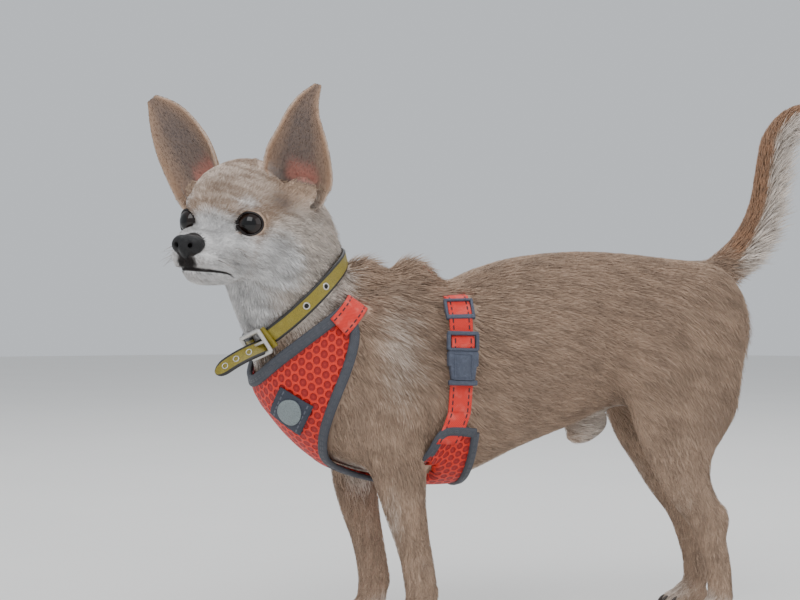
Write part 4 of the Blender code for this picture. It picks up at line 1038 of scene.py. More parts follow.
def body_skin(fineness):
    """The skin of trunk, legs, paws and tail."""
    nodes = [node for node in FLESH if node != "head" and not node.startswith(("ear", "tail"))]
    obj = joined_nodes("body skin", nodes, 0.22)
    rows = curve_rows(TAIL_CORE, 5)
    ways = rows_unit(np.gradient(rows[:, :2], axis=0))
    with edited(obj.data) as bm:
        rings = []
        for (x, z, girth), (along_x, along_z) in zip(rows, ways):
            ring = []
            for turn in np.linspace(0, 2 * math.pi, TAIL_SIDES, endpoint=False):
                back = girth * math.sin(turn) * (1.5 if math.sin(turn) > 0 else 1.0)
                point = np.array((x + along_z * back, girth * math.cos(turn), z - along_x * back))
                ring.append(bm.verts.new((point + SHIFT) * MM))
            rings.append(ring)
        for a, b in zip(rings, rings[1:]):
            for j in range(TAIL_SIDES):
                k = (j + 1) % TAIL_SIDES
                bm.faces.new((a[j], b[j], b[k], a[k]))
        bm.faces.new(rings[0])
        bm.faces.new(rings[-1][::-1])
    mesh = modified(obj, "REMESH", mode="VOXEL", voxel_size=fineness)
    cut_plane(mesh, above=False)
    points, edges = coordinates(mesh), edges_of(mesh)
    paw = smoothstep(30, 22, points[:, 2])
    points = evened(points, edges, 3)
    points = evened(points, edges, 9, 1 - paw)
    croup = smoothstep(34, 14, lengths(points - np.array((224, 0, 230))))
    points = evened(points, edges, 18, croup)
    place(mesh, points)
    return obj


def sink_for_coat(mesh):
    """Draw the skin in by the coat's depth, and shape the lids and lips."""
    points, normals = coordinates(mesh), vertex_normals(mesh)
    values = lie_of(points, normals)
    points = points - normals * values[:, 6:7]
    head = to_head(points)
    for side in (1, -1):
        centre, gaze, outer = eye_axes(side)
        away = head - centre
        reach = lengths(away)
        oval = lid_reach(away, gaze, outer)
        front = reach < EYE_RADIUS + 8
        lid = front * smoothstep(1.75, 1.15, oval)
        # A fold runs round above the upper lid, and a shallow one under the lower lid
        fold = np.exp(-(((oval - 1.36) / 0.09) ** 2)) * front * (0.45 + 0.55 * smoothstep(-2, 3, away[:, 2]))
        sunk = smoothstep(1.02, 0.94, oval) * front
        wanted = reach * (1 - lid) + (EYE_RADIUS + 1.0) * lid - 0.8 * fold
        wanted = wanted * (1 - sunk) + (EYE_RADIUS - 1.0) * sunk
        head = centre + away * (wanted / np.maximum(reach, 1e-6))[:, None]
    gap, along = mouth_gap(head)
    muzzle = smoothstep(1.12, 0.95, along) * (head[:, 0] > 0)
    depth = 1.5 * np.exp(-((gap / 0.8) ** 2)) - 0.4 * np.exp(-(((gap - 2.1) / 0.9) ** 2))
    head = head - (normals @ HEAD_TURN) * (depth * muzzle)[:, None]
    gap = to_line(head, np.array([(36.5, 0, -19), (37, 0, -27)], float))
    head = head - (normals @ HEAD_TURN) * (0.9 * np.exp(-((gap / 0.6) ** 2)))[:, None]
    place(mesh, from_head(head))


class MakeSkin(bpy.types.Operator):
    """Make the one skin that stands for all the flesh"""

    bl_idname = "dog.skin"
    bl_label = "Skin"

    def execute(self, context):
        coat = context.scene.dog_coat
        head = head_skin(coat.head_voxel)
        body = body_skin(coat.body_voxel)
        mesh = closed_mesh(merged(body.data, head.data), "skin")
        for obj in (head, body):
            bpy.data.objects.remove(obj)
        MADE["outer"] = tree_of(mesh)
        trunk = joined_nodes("trunk", ["torso"], 0.0)
        MADE["trunk"] = tree_of(trunk.data)
        bpy.data.objects.remove(trunk)
        sink_for_coat(mesh)
        mesh.shade_smooth()
        points, normals = coordinates(mesh), vertex_normals(mesh)
        for name, values in marks_of(points, normals).items():
            attribute(mesh, name, values)
        skin = object_of("skin", mesh, coat_material("skin", False, 0.7))
        bpy.ops.object.select_all(action="DESELECT")
        skin.select_set(True)
        context.view_layer.objects.active = skin
        mesh.uv_layers.new(name="OFBake")
        bpy.ops.object.mode_set(mode="EDIT")
        bpy.ops.mesh.select_all(action="SELECT")
        bpy.ops.uv.smart_project(angle_limit=math.radians(66), island_margin=0.002)
        bpy.ops.object.mode_set(mode="OBJECT")
        ridden(skin, "coat", *FLESH)
        MADE["skin"] = skin
        MADE["skin tree"] = tree_of(skin.data)
        return {"FINISHED"}


def roots(mesh, rng, count, weight_of):
    """Random places on a mesh: points, normals and unwrap, drawn by area and weight."""
    mesh.calc_loop_triangles()
    corners = field_of(mesh.loop_triangles, "vertices", 3, np.int32)
    loops = field_of(mesh.loop_triangles, "loops", 3, np.int32)
    points, normals = coordinates(mesh), vertex_normals(mesh)
    unwrap = field_of(mesh.uv_layers["OFBake"].data, "uv", 2)
    triangle = points[corners]
    area = lengths(np.cross(triangle[:, 1] - triangle[:, 0], triangle[:, 2] - triangle[:, 0]))
    weight = area * weight_of(triangle.mean(axis=1), rows_unit(normals[corners].mean(axis=1)))
    reach = np.cumsum(weight)
    pick = np.searchsorted(reach, (np.arange(count) + rng.random(count)) / count * reach[-1])
    pick = np.minimum(pick, len(corners) - 1)
    share = rng.dirichlet((1, 1, 1), count)
    where = (points[corners[pick]] * share[:, :, None]).sum(axis=1)
    facing = rows_unit((normals[corners[pick]] * share[:, :, None]).sum(axis=1))
    flat = (unwrap[loops[pick]] * share[:, :, None]).sum(axis=1)
    return where, facing, flat


TUFT_FACES = np.array([
    (0, 1, 4), (0, 4, 3), (1, 2, 5), (1, 5, 4), (2, 0, 3), (2, 3, 5), (3, 4, 6), (4, 5, 6), (5, 3, 6), (2, 1, 0)
])
TUFT_PATCH = np.array([(-1, -1), (1, -1), (0, -0.8), (-0.8, 0.2), (0.8, 0.2), (0, 0.3), (0, 1)]) * 0.0015


def streaks(points):
    """Light and dark streaks that run the way the coat lies, from about -0.5 to 0.5."""
    x, y, z = points.T
    down = smoothstep(140, 105, z)[:, None]
    trunk = np.column_stack([(x * 0.96 - z * 0.27) / 24, y / 10, (x * 0.27 + z * 0.96) / 3.2])
    leg = np.column_stack([x / 3.4, y / 3.4, z / 22])
    fine = np.where(down > 0.5, leg, trunk)
    return np.array([noise.noise(point) + 0.6 * noise.noise(point * 2.3) for point in map(Vector, fine)])


def tufts(name, where, facing, flat, rng, material, scale=1.0):
    """Thin three-sided tufts that lie over the skin the way the coat grows."""
    count = len(where)
    values = lie_of(where, facing)
    way = values[:, :3] + rng.normal(0, 0.1, (count, 3))
    way = rows_unit(way - facing * (way * facing).sum(axis=1, keepdims=True))
    length = (values[:, 3] * rng.uniform(0.7, 1.2, count))[:, None]
    rise = (values[:, 4] * rng.uniform(0.6, 1.5, count))[:, None]
    width = (values[:, 5] * rng.uniform(0.6, 1.25, count) * scale)[:, None]
    depth = values[:, 6:7]
    tree = MADE["skin tree"]
    middle, middle_up = nearest(tree, where + way * length * 0.5)
    tip, tip_up = nearest(tree, where + way * length)
    middle = middle + middle_up * depth * rng.uniform(0.45, 0.95, (count, 1))
    tip = tip + tip_up * depth * rng.uniform(0.75, 1.3, (count, 1))
    lift = np.clip(rise, 0, 0.8)
    free_middle = where + (way * np.sqrt(1 - lift**2) + facing * lift) * length * 0.5
    free_tip = where + (way * np.sqrt(1 - lift**2) + facing * lift * 0.9) * length
    free = smoothstep(0.14, 0.3, rise)
    middle = middle * (1 - free) + free_middle * free
    tip = tip * (1 - free) + free_tip * free
    across = rows_unit(np.cross(facing, rows_unit(tip - where)))
    base = where - facing * 0.3
    thick = width * 0.32
    points = np.stack([
        base - across * width / 2,
        base + across * width / 2,
        base + facing * thick,
        middle - across * width * 0.42,
        middle + across * width * 0.42,
        middle + facing * thick,
        tip,
    ], axis=1)
    triangles = (TUFT_FACES[None] + (np.arange(count) * 7)[:, None, None]).reshape(-1, 3)
    mesh = triangles_mesh(name, points.reshape(-1, 3), triangles)
    strand = 0.5 + (rng.random(count) - 0.5) * 0.75 + streaks(where) * 0.75
    strand = np.repeat(strand, 7).reshape(count, 7)
    # Painted shade and highlight: each tuft is darker towards its root, deep in the coat, and lighter at its tip
    strand += np.array((-0.25, -0.25, -0.25, 0.0, 0.0, 0.0, 0.12))
    attribute(mesh, "strand", np.clip(strand, 0, 1).ravel())
    for mask, amount in marks_of(where, facing).items():
        attribute(mesh, mask, np.repeat(amount, 7))
    layer = mesh.uv_layers.new(name="OFBake")
    corner = (flat[:, None] + TUFT_PATCH[None])[:, TUFT_FACES].reshape(-1, 2)
    layer.data.foreach_set("uv", corner.astype(np.float32).ravel())
    return ridden(object_of(name, mesh, material), "coat")


def covered(where, facing, reach):
    """Whether something that the dog wears lies over each place."""
    hidden = np.zeros(len(where), bool)
    world = (where + SHIFT) * MM
    for i, (point, way) in enumerate(zip(world.tolist(), facing.tolist())):
        hidden[i] = MADE["worn"].ray_cast(point, way, reach * MM)[0] is not None
    return hidden


class MakeCoat(bpy.types.Operator):
    """Lay the tufts of the coat over the skin"""

    bl_idname = "dog.coat"
    bl_label = "Coat"

    def execute(self, context):
        coat = context.scene.dog_coat
        rng = np.random.default_rng(coat.seed)
        mesh = MADE["skin"].data
        material = coat_material("hair", True, 0.55)

        def on_head(points, normals):
            head = to_head(points)
            share = smoothstep(0.3, 0.5, headness(points))
            bare = np.ones(len(points))
            for side in (1, -1):
                centre, gaze, outer = eye_axes(side)
                away = head - centre
                gap = lengths(away)
                bare *= 1 - smoothstep(1.14, 1.05, lid_reach(away, gaze, outer)) * (gap < 16)
            nose = lengths((head - np.array(NOSE)) / (1, 1.25, 1))
            bare *= smoothstep(7.6, 8.6, nose)
            gap, _ = mouth_gap(head)
            bare *= 1 - 0.9 * smoothstep(1.3, 0.7, gap) * (head[:, 0] > 4)
            zone, _, inner, _, _ = ear_lie(points, normals)
            fine = 1 + 1.3 * smoothstep(-10, 10, head[:, 0])
            ear = np.where(zone != 0, np.where(inner > 0.5, 0.35, 1.0), fine)
            return share * bare * ear

        def on_body(points, normals):
            share = smoothstep(0.55, 0.35, headness(points))
            fine = 1 + 0.9 * smoothstep(110, 40, points[:, 2])
            _, _, near, _ = tail_lie(points)
            return share * fine * (1 + 1.2 * near)

        parts = (("head_coat", on_head, coat.head_tufts), ("body_coat", on_body, coat.body_tufts))
        scale = 1.0
        for name, weight, count in parts:
            where, facing, flat = roots(mesh, rng, count, weight)
            shown = ~covered(where, facing, 9.0)
            where, facing, flat = where[shown], facing[shown], flat[shown]
            order = np.argsort(where[:, 0])
            pieces = math.ceil(len(order) / TUFTS_A_PIECE)
            for index, chosen in enumerate(np.array_split(order, pieces)):
                tufts(f"{name}_{index + 1}", where[chosen], facing[chosen], flat[chosen], rng, material, scale)
        return {"FINISHED"}


class MakeEyes(bpy.types.Operator):
    """Make both eyes with their lid rims"""

    bl_idname = "dog.eyes"
    bl_label = "Eyes"

    def execute(self, context):
        head_set = context.scene.dog_head
        material, tree, shader = finish_material("eye", 0.03, Specular_IOR_Level=0.42)
        angle = add(tree, "Attribute", attribute_name="gaze").outputs["Fac"]
        fibre = ramp(tree, clouds(tree, 500.0, 4.0), 0.35, 0.65)
        iris = mix(tree, fibre, tuple(head_set.iris), (0.012, 0.005, 0.003, 1))
        shade = mix(tree, ramp(tree, angle, 24, 30), tuple(head_set.pupil), iris)
        shade = mix(tree, ramp(tree, angle, 50, 56), shade, (0.004, 0.003, 0.003, 1))
        shade = mix(tree, ramp(tree, angle, 57, 61), shade, tuple(head_set.eyewhite))
        tree.links.new(shade, shader.inputs["Base Color"])
        rim_material = group_material(
            "lid rim", "Grain", 0.32, (0.2, 0.0001), Colour=(0.014, 0.011, 0.011, 1), Worn=(0.03, 0.022, 0.02, 1),
            Scale=1500.0,
        )
        for side, word in ((1, "left"), (-1, "right")):
            centre, gaze, level = eye_axes(side)
            up = np.array((0, 0, 1.0))
            points, angles = [], []
            rings = 40
            for i in range(rings + 1):
                theta = math.pi * i / rings
                # The cornea bulges a little
                reach = EYE_RADIUS + 0.55 * math.exp(-((theta / 0.62) ** 4))
                for j in range(EYE_SIDES):
                    phi = 2 * math.pi * j / EYE_SIDES
                    spoke = level * math.cos(phi) + up * math.sin(phi)
                    points.append(centre + reach * (gaze * math.cos(theta) + spoke * math.sin(theta)))
                    angles.append(math.degrees(theta))
            mesh = mesh_of("eye " + word, from_head(points), tube_faces(rings + 1, EYE_SIDES))
            attribute(mesh, "gaze", angles)
            eye = object_of(f"eyeball_{word}", mesh, material)
            weld(eye)
            ridden(eye, "eye", f"eye_{word}")
            path, ups = [], []
            for phi in np.linspace(0, 2 * math.pi, 56, endpoint=False):
                wide, high = math.cos(phi), math.sin(phi)
                high -= EYE_DROP * smoothstep(-0.4, -1.1, wide)
                high = high * (EYE_LOW if math.sin(phi) < 0 else 1.0) * EYE_OPENING[1]
                wide *= EYE_OPENING[0] * (EYE_CORNER if wide < 0 else 1.0)
                flat = level * wide + up * high
                deep = math.sqrt(max((EYE_RADIUS + 0.4) ** 2 - flat @ flat, 0.5))
                path.append(centre + flat + gaze * deep)
                ups.append(rows_unit(flat + gaze * deep))
            path, ups = from_head(path), np.array(ups) @ HEAD_TURN.T
            rim = band(f"lid_rim_{word}", path, ups, oval_profile(1.15, 0.95), rim_material, closed=True)
            ridden(rim, "coat")
        return {"FINISHED"}


def tube_faces(rows, sides, start=0):
    """The faces between the rings of a tube."""
    return [
        (a + j, a + (j + 1) % sides, a + sides + (j + 1) % sides, a + sides + j)
        for a in range(start, start + (rows - 1) * sides, sides)
        for j in range(sides)
    ]


def weld(obj):
    """Merge points that coincide and turn all faces outwards."""
    with edited(obj.data) as bm:
        bmesh.ops.remove_doubles(bm, verts=bm.verts, dist=1e-6)
        bmesh.ops.recalc_face_normals(bm, faces=bm.faces)
    obj.data.shade_smooth()


def oval_profile(wide, high, sides=12):
    """A closed oval, as pairs across and up."""
    turn = np.linspace(0, 2 * math.pi, sides, endpoint=False)
    return np.column_stack([np.cos(turn) * wide / 2, np.sin(turn) * high / 2])


def strap_profile(wide, high, edge=None):
    """A closed flat strap with rounded edges, its underside at height 0."""
    edge = edge or high * 0.45
    out = []
    for cx, cz, first in ((1, 1, 0), (-1, 1, 90), (-1, -1, 180), (1, -1, 270)):
        for angle in (0, 45, 90):
            turn = math.radians(first + angle)
            out.append((
                cx * (wide / 2 - edge) + edge * math.cos(turn),
                high / 2 + cz * (high / 2 - edge) + edge * math.sin(turn),
            ))
    top = [(x, high) for x in np.linspace(wide / 2 - edge, -wide / 2 + edge, 9)[1:-1]]
    return np.array(out[:3] + top + out[3:])


def band(name, path, ups, profile, material, closed=False, across=None):
    """Sweep a profile along a path whose upward ways are given. Its unwrap is in metres along and across."""
    path, ups = np.asarray(path, float), rows_unit(ups)
    count, sides = len(path), len(profile)
    if closed:
        along = rows_unit(np.roll(path, -1, axis=0) - np.roll(path, 1, axis=0))
    else:
        along = rows_unit(np.gradient(path, axis=0))
    if across is None:
        across = np.cross(along, ups)
    across = rows_unit(across)
    square = rows_unit(np.cross(across, along))
    ups = square * np.sign((square * ups).sum(axis=1, keepdims=True))
    points = path[:, None] + profile[None, :, :1] * across[:, None] + profile[None, :, 1:] * ups[:, None]
    run = run_along(path)
    faces, flats = [], []
    length = run[-1] + (np.linalg.norm(path[0] - path[-1]) if closed else 0)
    for i in range(count if closed else count - 1):
        k = (i + 1) % count
        for j in range(sides):
            m = (j + 1) % sides
            faces.append((i * sides + j, i * sides + m, k * sides + m, k * sides + j))
            end = run[k] if k else length
            flats += [(run[i], profile[j][0]), (run[i], profile[m][0]), (end, profile[m][0]), (end, profile[j][0])]
    if not closed:
        for start in (0, (count - 1) * sides):
            ring = [start + j for j in range(sides)]
            faces.append(ring if start else ring[::-1])
            flats += [(run[-1 if start else 0], profile[j - start][0]) for j in faces[-1]]
    mesh = cloth_mesh(name, points, faces, flats)
    mesh.shade_smooth()
    with edited(mesh) as bm:
        bmesh.ops.recalc_face_normals(bm, faces=bm.faces)
    return object_of(name, mesh, material)


class MakeNose(bpy.types.Operator):
    """Make the nose leather, finer than its solid"""

    bl_idname = "dog.nose"
    bl_label = "Nose"

    def execute(self, context):
        obj = joined_nodes("nose_leather", ["nose"], 0.25)
        mesh = modified(obj, "REMESH", mode="VOXEL", voxel_size=0.4 * MM)
        points = evened(coordinates(mesh), edges_of(mesh), 6)
        place(mesh, points)
        mesh.shade_smooth()
        material = group_material(
            "nose leather", "Grain", 0.42, (0.5, 0.00025),
            {"Specular_IOR_Level": 0.3, "Coat_Weight": 0.1, "Coat_Roughness": 0.3},
            Colour=tuple(context.scene.dog_head.nose), Worn=(0.03, 0.028, 0.03, 1), Scale=1300.0,
        )
        mesh.materials.clear()
        mesh.materials.append(material)
        ridden(obj, "nose_leather", "nose")
        return {"FINISHED"}


class MakeClaws(bpy.types.Operator):
    """Set a claw in the tip of every toe"""

    bl_idname = "dog.claws"
    bl_label = "Claws"

    def execute(self, context):
        material = group_material(
            "claw", "Grain", 0.35, None, {"Coat_Weight": 0.2},
            Colour=tuple(context.scene.dog_head.claw), Worn=(0.16, 0.12, 0.09, 1), Scale=900.0,
        )
        curl = curve_rows(CLAW_CURL, 3)
        for paw, (toe_x, toe_y) in PAWS.items():
            points, faces = [], []
            for aside, ahead in TOES:
                start = len(points)
                for step, high, girth in curl:
                    for turn in np.linspace(0, 2 * math.pi, CLAW_SIDES, endpoint=False):
                        points.append((
                            toe_x - ahead + step - girth * 0.6 * math.sin(turn),
                            toe_y + aside + girth * 0.75 * math.cos(turn),
                            max(high + girth * math.sin(turn), 0.05),
                        ))
                faces += tube_faces(len(curl), CLAW_SIDES, start)
                faces.append(range(start, start + CLAW_SIDES))
                faces.append(range(len(points) - 1, len(points) - CLAW_SIDES - 1, -1))
            claws = object_of("claws_" + paw, mesh_of("claws", points, faces), material)
            weld(claws)
            ridden(claws, "coat")
        return {"FINISHED"}


class MakeWhiskers(bpy.types.Operator):
    """Root the whiskers in the muzzle and brows"""

    bl_idname = "dog.whiskers"
    bl_label = "Whiskers"

    def execute(self, context):
        rng = np.random.default_rng(context.scene.dog_coat.seed + 1)
        material, tree, shader = finish_material("whisker", 0.4)
        tone = ramp(tree, clouds(tree, 90.0), 0.4, 0.6)
        shade = mix(tree, tone, tuple(context.scene.dog_head.whisker), (0.05, 0.04, 0.04, 1))
        tree.links.new(shade, shader.inputs["Base Color"])
        beds = []
        for side in (-1, 1):
            for row, height in enumerate((-19.5, -22.5, -25.0)):
                for step in range(4):
                    bed = (29 - step * 4.2, side * 30, height + rng.uniform(-0.5, 0.5))
                    beds.append((bed, (0.15, side * 1.0, -0.25 - 0.1 * row), 17))
            beds.append(((6, side * 24, 14), (0.5, side * 0.5, 0.8), 13))
            beds.append(((9, side * 22, 13), (0.6, side * 0.35, 0.8), 12))
        points, faces = [], []
        for bed, way, length in beds:
            root = nearest(MADE["skin tree"], from_head([bed]))[0][0]
            way = rows_unit(HEAD_TURN @ np.array(way) + rng.normal(0, 0.12, 3))
            back = HEAD_TURN @ np.array((-1.0, 0, -0.25))
            length *= rng.uniform(0.7, 1.15)
            start = len(points)
            for t in np.linspace(0, 1, 7):
                centre = root - way * 0.5 + way * length * t + back * length * 0.35 * t * t
                girth = 0.16 * (1 - 0.85 * t)
                side_way = rows_unit(np.cross(way, back))
                up_way = np.cross(side_way, way)
                for turn in (0, 2.094, 4.189):
                    points.append(centre + girth * (side_way * math.cos(turn) + up_way * math.sin(turn)))
            faces += tube_faces(7, 3, start)
            faces += [(start, start + 1, start + 2), (start + 20, start + 19, start + 18)]
        whiskers = object_of("whiskers", mesh_of("whiskers", points, faces), material)
        weld(whiskers)
        ridden(whiskers, "coat")
        return {"FINISHED"}


def cast(start, way, form="outer"):
    """Where a ray from inside the body or the trunk leaves it, and the outward normal there, in the dog's frame."""
    origin = Vector((np.asarray(start) + SHIFT) * MM)
    hit, normal, _, _ = MADE[form].ray_cast(origin, Vector(rows_unit(way)))
    if normal.dot(Vector(way)) < 0:
        normal = -normal
    return np.array(hit) / MM - SHIFT, np.array(normal)


def ring_path(centre, normal, first, last, width, steps, lift, lean=0.0):
    """Points, upward ways and crosswise ways along a strap round the body. Lift and lean may change along it."""
    normal = rows_unit(normal)
    out = rows_unit(np.cross((0, 1, 0), normal))
    side = np.cross(normal, out)
    path, ups, across = [], [], []
    for angle, high_there, forward in zip(
        np.radians(np.linspace(first, last, steps)), np.broadcast_to(lift, steps), np.broadcast_to(lean, steps)
    ):
        way = out * math.cos(angle) + side * math.sin(angle) + normal * forward
        hits = [cast(np.asarray(centre) + normal * width * share, way) for share in (-0.5, -0.25, 0, 0.25, 0.5)]
        crosswise = rows_unit(hits[-1][0] - hits[0][0])
        up = rows_unit(sum(hit[1] for hit in hits))
        up = rows_unit(up - crosswise * (up @ crosswise))
        high = max((hit[0] - hits[2][0]) @ up for hit in hits)
        path.append(hits[2][0] + up * (high_there + max(high, 0)))
        ups.append(up)
        across.append(crosswise)
    path, ups, across = np.array(path), np.array(ups), np.array(across)
    for rows in (path, ups, across):
        smooth_rows(rows, 3)
    return path, rows_unit(ups), rows_unit(across)


def mesh_fabric(settings):
    """The air mesh: round sunken cells in a raised bright net, with painted shade in the cells."""
    material, tree, shader = finish_material("air mesh", 0.55)
    flat = cloth_place(tree)
    pitch = settings.cell_pitch
    best = None
    for shift in (0.0, 0.5):
        u = maths(tree, "MULTIPLY_ADD", flat[0], 1 / (pitch * math.sqrt(3)), shift)
        v = maths(tree, "MULTIPLY_ADD", flat[1], 1 / pitch, shift)
        du = maths(tree, "MULTIPLY", maths(tree, "SUBTRACT", maths(tree, "FRACT", u), 0.5), math.sqrt(3))
        dv = maths(tree, "SUBTRACT", maths(tree, "FRACT", v), 0.5)
        squares = maths(tree, "ADD", maths(tree, "MULTIPLY", du, du), maths(tree, "MULTIPLY", dv, dv))
        gap = maths(tree, "SQRT", squares)
        best = gap if best is None else maths(tree, "MINIMUM", best, gap)
    cell = ramp(tree, best, 0.43, 0.30)
    where = add(tree, "TexCoord").outputs["Object"]
    thread = add(tree, "TexVoronoi", {"Vector": where, "Scale": 1400.0}).outputs[0]
    # Painted shade: the sunken cells are a darker red than the raised net
    tone = mix(tree, cell, tuple(settings.mesh), tuple(settings.cells))
    tone = mix(tree, maths(tree, "MULTIPLY", thread, 0.45), tone, (0.22, 0.0, 0.0, 1))
    # The painted shade eases at the middle of each cell, which is lighter
    deep = ramp(tree, best, 0.16, 0.05, 0.0, 0.4)
    tone = mix(tree, deep, tone, (0.6, 0.03, 0.015, 1))
    tree.links.new(tone, shader.inputs["Base Color"])
    height = maths(tree, "MULTIPLY_ADD", thread, 0.12, maths(tree, "SUBTRACT", 1.0, cell))
    bump(tree, shader, height, 0.9, 0.0011)
    return material


def form_at(row):
    """Which form of the body a row of the vest lies on."""
    return "trunk" if row > TRUNK_ROW else "outer"


def vest_reach(row):
    """How far round from below the vest reaches at a row, in degrees."""
    reach = curve_rows(REACH, 4)
    return np.interp(row, reach[:, 0], reach[:, 1])


def vest_place(row, angle):
    """A place under the vest and its normal. Row 0 is the neckline and 1 the girth. Angles run from below."""
    spine = curve_rows(SPINE, 10)
    where = row * (len(spine) - 1)
    i = min(int(where), len(spine) - 2)
    x, z = spine[i] + (spine[i + 1] - spine[i]) * (where - i)
    along = rows_unit(spine[min(i + 2, len(spine) - 1)] - spine[max(i - 1, 0)])
    down = np.array((-abs(along[1]), 0, -along[0]))
    # The neckline rises under the collar on both sides
    lean = 0.12 * max(1 - row / 0.3, 0) * math.sin(math.radians((abs(angle) - 12) * 1.8))
    turn = math.radians(-angle)
    way = down * math.cos(turn) + np.array((0, 1, 0)) * math.sin(turn) - np.array((along[0], 0, along[1])) * lean
    return cast((x, 0, z), way, form_at(row))


def vest_sheet(name, rows, lift, thick, material):
    """The smoothed sheet of the vest over these rows, its grid of points and its normals there."""
    share = np.linspace(-1, 1, VEST_COLUMNS)
    places = [[vest_place(row, angle) for angle in share * (vest_reach(row) - 4)] for row in rows]
    normals = np.array([[normal for _, normal in line] for line in places])
    grid = np.array([[point for point, _ in line] for line in places]) + normals * lift
    for _ in range(8):
        inner = grid[:-2, 1:-1] + grid[2:, 1:-1] + grid[1:-1, :-2] + grid[1:-1, 2:] + 4 * grid[1:-1, 1:-1]
        for edge in (grid[0], grid[-1], grid[:, 0], grid[:, -1]):
            smooth_rows(edge, 1)
        grid[1:-1, 1:-1] = inner / 8
        for i, row in enumerate(rows):
            there, up = nearest(MADE[form_at(row)], grid[i])
            gap = ((grid[i] - there) * up).sum(axis=1)
            grid[i] += np.clip(lift - 0.2 - gap, 0, 0.8)[:, None] * up
    middle = grid.shape[1] // 2
    along = run_along(grid[:, middle])
    flats = []
    for i in range(len(rows)):
        step = run_along(grid[i])
        flats.append([(along[i], value - step[middle]) for value in step])
    return sheet_mesh(name, grid, normals, thick, material, flats), grid, normals


def sheet_mesh(name, grid, normals, thick, material, flats):
    """A closed sheet over a grid of points, with its unwrap in metres."""
    rows, columns = grid.shape[:2]
    faces, unwrap = [], []
    for i in range(rows - 1):
        for j in range(columns - 1):
            ring = (i * columns + j, (i + 1) * columns + j, (i + 1) * columns + j + 1, i * columns + j + 1)
            faces.append(ring)
            unwrap += [flats[k // columns][k % columns] for k in ring]
    mesh = cloth_mesh(name, grid, faces, unwrap)
    face = mesh.polygons[len(mesh.polygons) // 2]
    middle = normals.reshape(-1, 3)[face.vertices[0]]
    if face.normal.dot(Vector(middle)) < 0:
        mesh.flip_normals()
    obj = object_of(name, mesh, material)
    modified(obj, "SOLIDIFY", thickness=thick * MM, offset=1.0).shade_smooth()
    return obj


class MakeHarness(bpy.types.Operator):
    """Dress the dog in its chest vest, its binding and its patch"""

    bl_idname = "dog.harness"
    bl_label = "Vest"

    def execute(self, context):
        settings = context.scene.dog_harness
        rows = np.linspace(0.02, 1, VEST_ROWS)
        vest, grid, normals = vest_sheet("vest", rows, 1.6, 2.0, mesh_fabric(settings))
        ridden(vest, "air_mesh", "harness_vest")
        # The binding's darker weave colour is painted shade in the dips of the weave
        binding = group_material(
            "binding", "Woven webbing", 0.75, Colour=tuple(settings.binding), Stitch=tuple(settings.binding),
            Width=0.006, Deep=(0.03, 0.034, 0.045, 1), Worn=(0.14, 0.15, 0.18, 1),
        )
        middle = grid + normals * 1.1
        trims = [
            ("neckline", middle[0], normals[0], 7.6), ("girth_edge", middle[-1], normals[-1], 5.5),
            ("edge_left", middle[:, 0], normals[:, 0], 6.4), ("edge_right", middle[:, -1], normals[:, -1], 6.4),
        ]
        for name, path, ups, wide in trims:
            path, ups = path.copy(), ups.copy()
            smooth_rows(path, 4)
            smooth_rows(ups, 4)
            trim = band(name, path, rows_unit(ups), strap_profile(wide, 3.1), binding)
            ridden(trim, "binding", *(["harness_vest_edging"] if name == "neckline" else []))
        self.patch(settings)
        return {"FINISHED"}

    def patch(self, settings):
        """Lay the patch with its plain oval on the vest's left front."""
        low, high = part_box("harness_patch")
        middle = (np.array(low) + np.array(high)) / 2 / MM - SHIFT
        _, normal = nearest(MADE["outer"], np.array([middle]))
        z = normal[0]
        x = rows_unit(np.cross((0, 1, 0), z))
        y = np.cross(z, x)
        turn = math.radians(30)
        x, y = x * math.cos(turn) + y * math.sin(turn), -x * math.sin(turn) + y * math.cos(turn)
        # The patch's darker weave colour is painted shade in the dips of the weave
        cloth = group_material(
            "patch", "Woven webbing", 0.8, Colour=tuple(settings.patch), Stitch=(0.10, 0.11, 0.14, 1), Width=0.022,
            Deep=(0.015, 0.018, 0.03, 1), Worn=(0.09, 0.10, 0.13, 1),
        )
        plain = group_material(
            "patch oval", "Grain", 0.6, Colour=tuple(settings.oval), Worn=(0.34, 0.40, 0.41, 1), Scale=1600.0
        )
        for name, half, lift, thick, round_it, material in (
            ("patch", (13.0, 12.0), 4.3, 0.9, False, cloth), ("patch_oval", (10.0, 7.8), 5.1, 0.5, True, plain)
        ):
            steps = 17
            grid = np.empty((steps, steps, 3))
            normals = np.empty_like(grid)
            flats = []
            for i, a in enumerate(np.linspace(-1, 1, steps)):
                flats.append([])
                for j, b in enumerate(np.linspace(-1, 1, steps)):
                    u, v = a, b
                    if round_it:
                        u, v = a * math.sqrt(1 - b * b / 2), b * math.sqrt(1 - a * a / 2)
                    point = middle + x * v * half[1] + y * u * half[0]
                    there, up = nearest(MADE["outer"], np.array([point]))
                    grid[i, j] = there[0] + up[0] * lift
                    normals[i, j] = up[0]
                    flats[-1].append((u * half[0], v * half[1]))
            piece = sheet_mesh(name, grid, normals, thick, material, flats)
            ridden(piece, "binding", *(["harness_patch"] if name == "patch" else []))


def box_part(bm, centre, half, frame_there, bevel=0.6, taper=1.0):
    """Add a rounded box to a mesh. Its far end along Y may be narrower."""
    made = bmesh.ops.create_cube(bm, size=2.0)["verts"]
    for vertex in made:
        x, y, z = vertex.co
        narrow = taper if y > 0 else 1.0
        vertex.co = Vector((centre[0] + x * half[0] * narrow, centre[1] + y * half[1], centre[2] + z * half[2]))
    edges = {edge for vertex in made for edge in vertex.link_edges}
    bevelled = bmesh.ops.bevel(bm, geom=list(edges), offset=bevel, segments=3, profile=0.5, affect="EDGES")
    verts = {v for face in bevelled["faces"] for v in face.verts} | {v for v in made if v.is_valid}
    for vertex in verts:
        vertex.co = Vector(frame_there @ vertex.co)


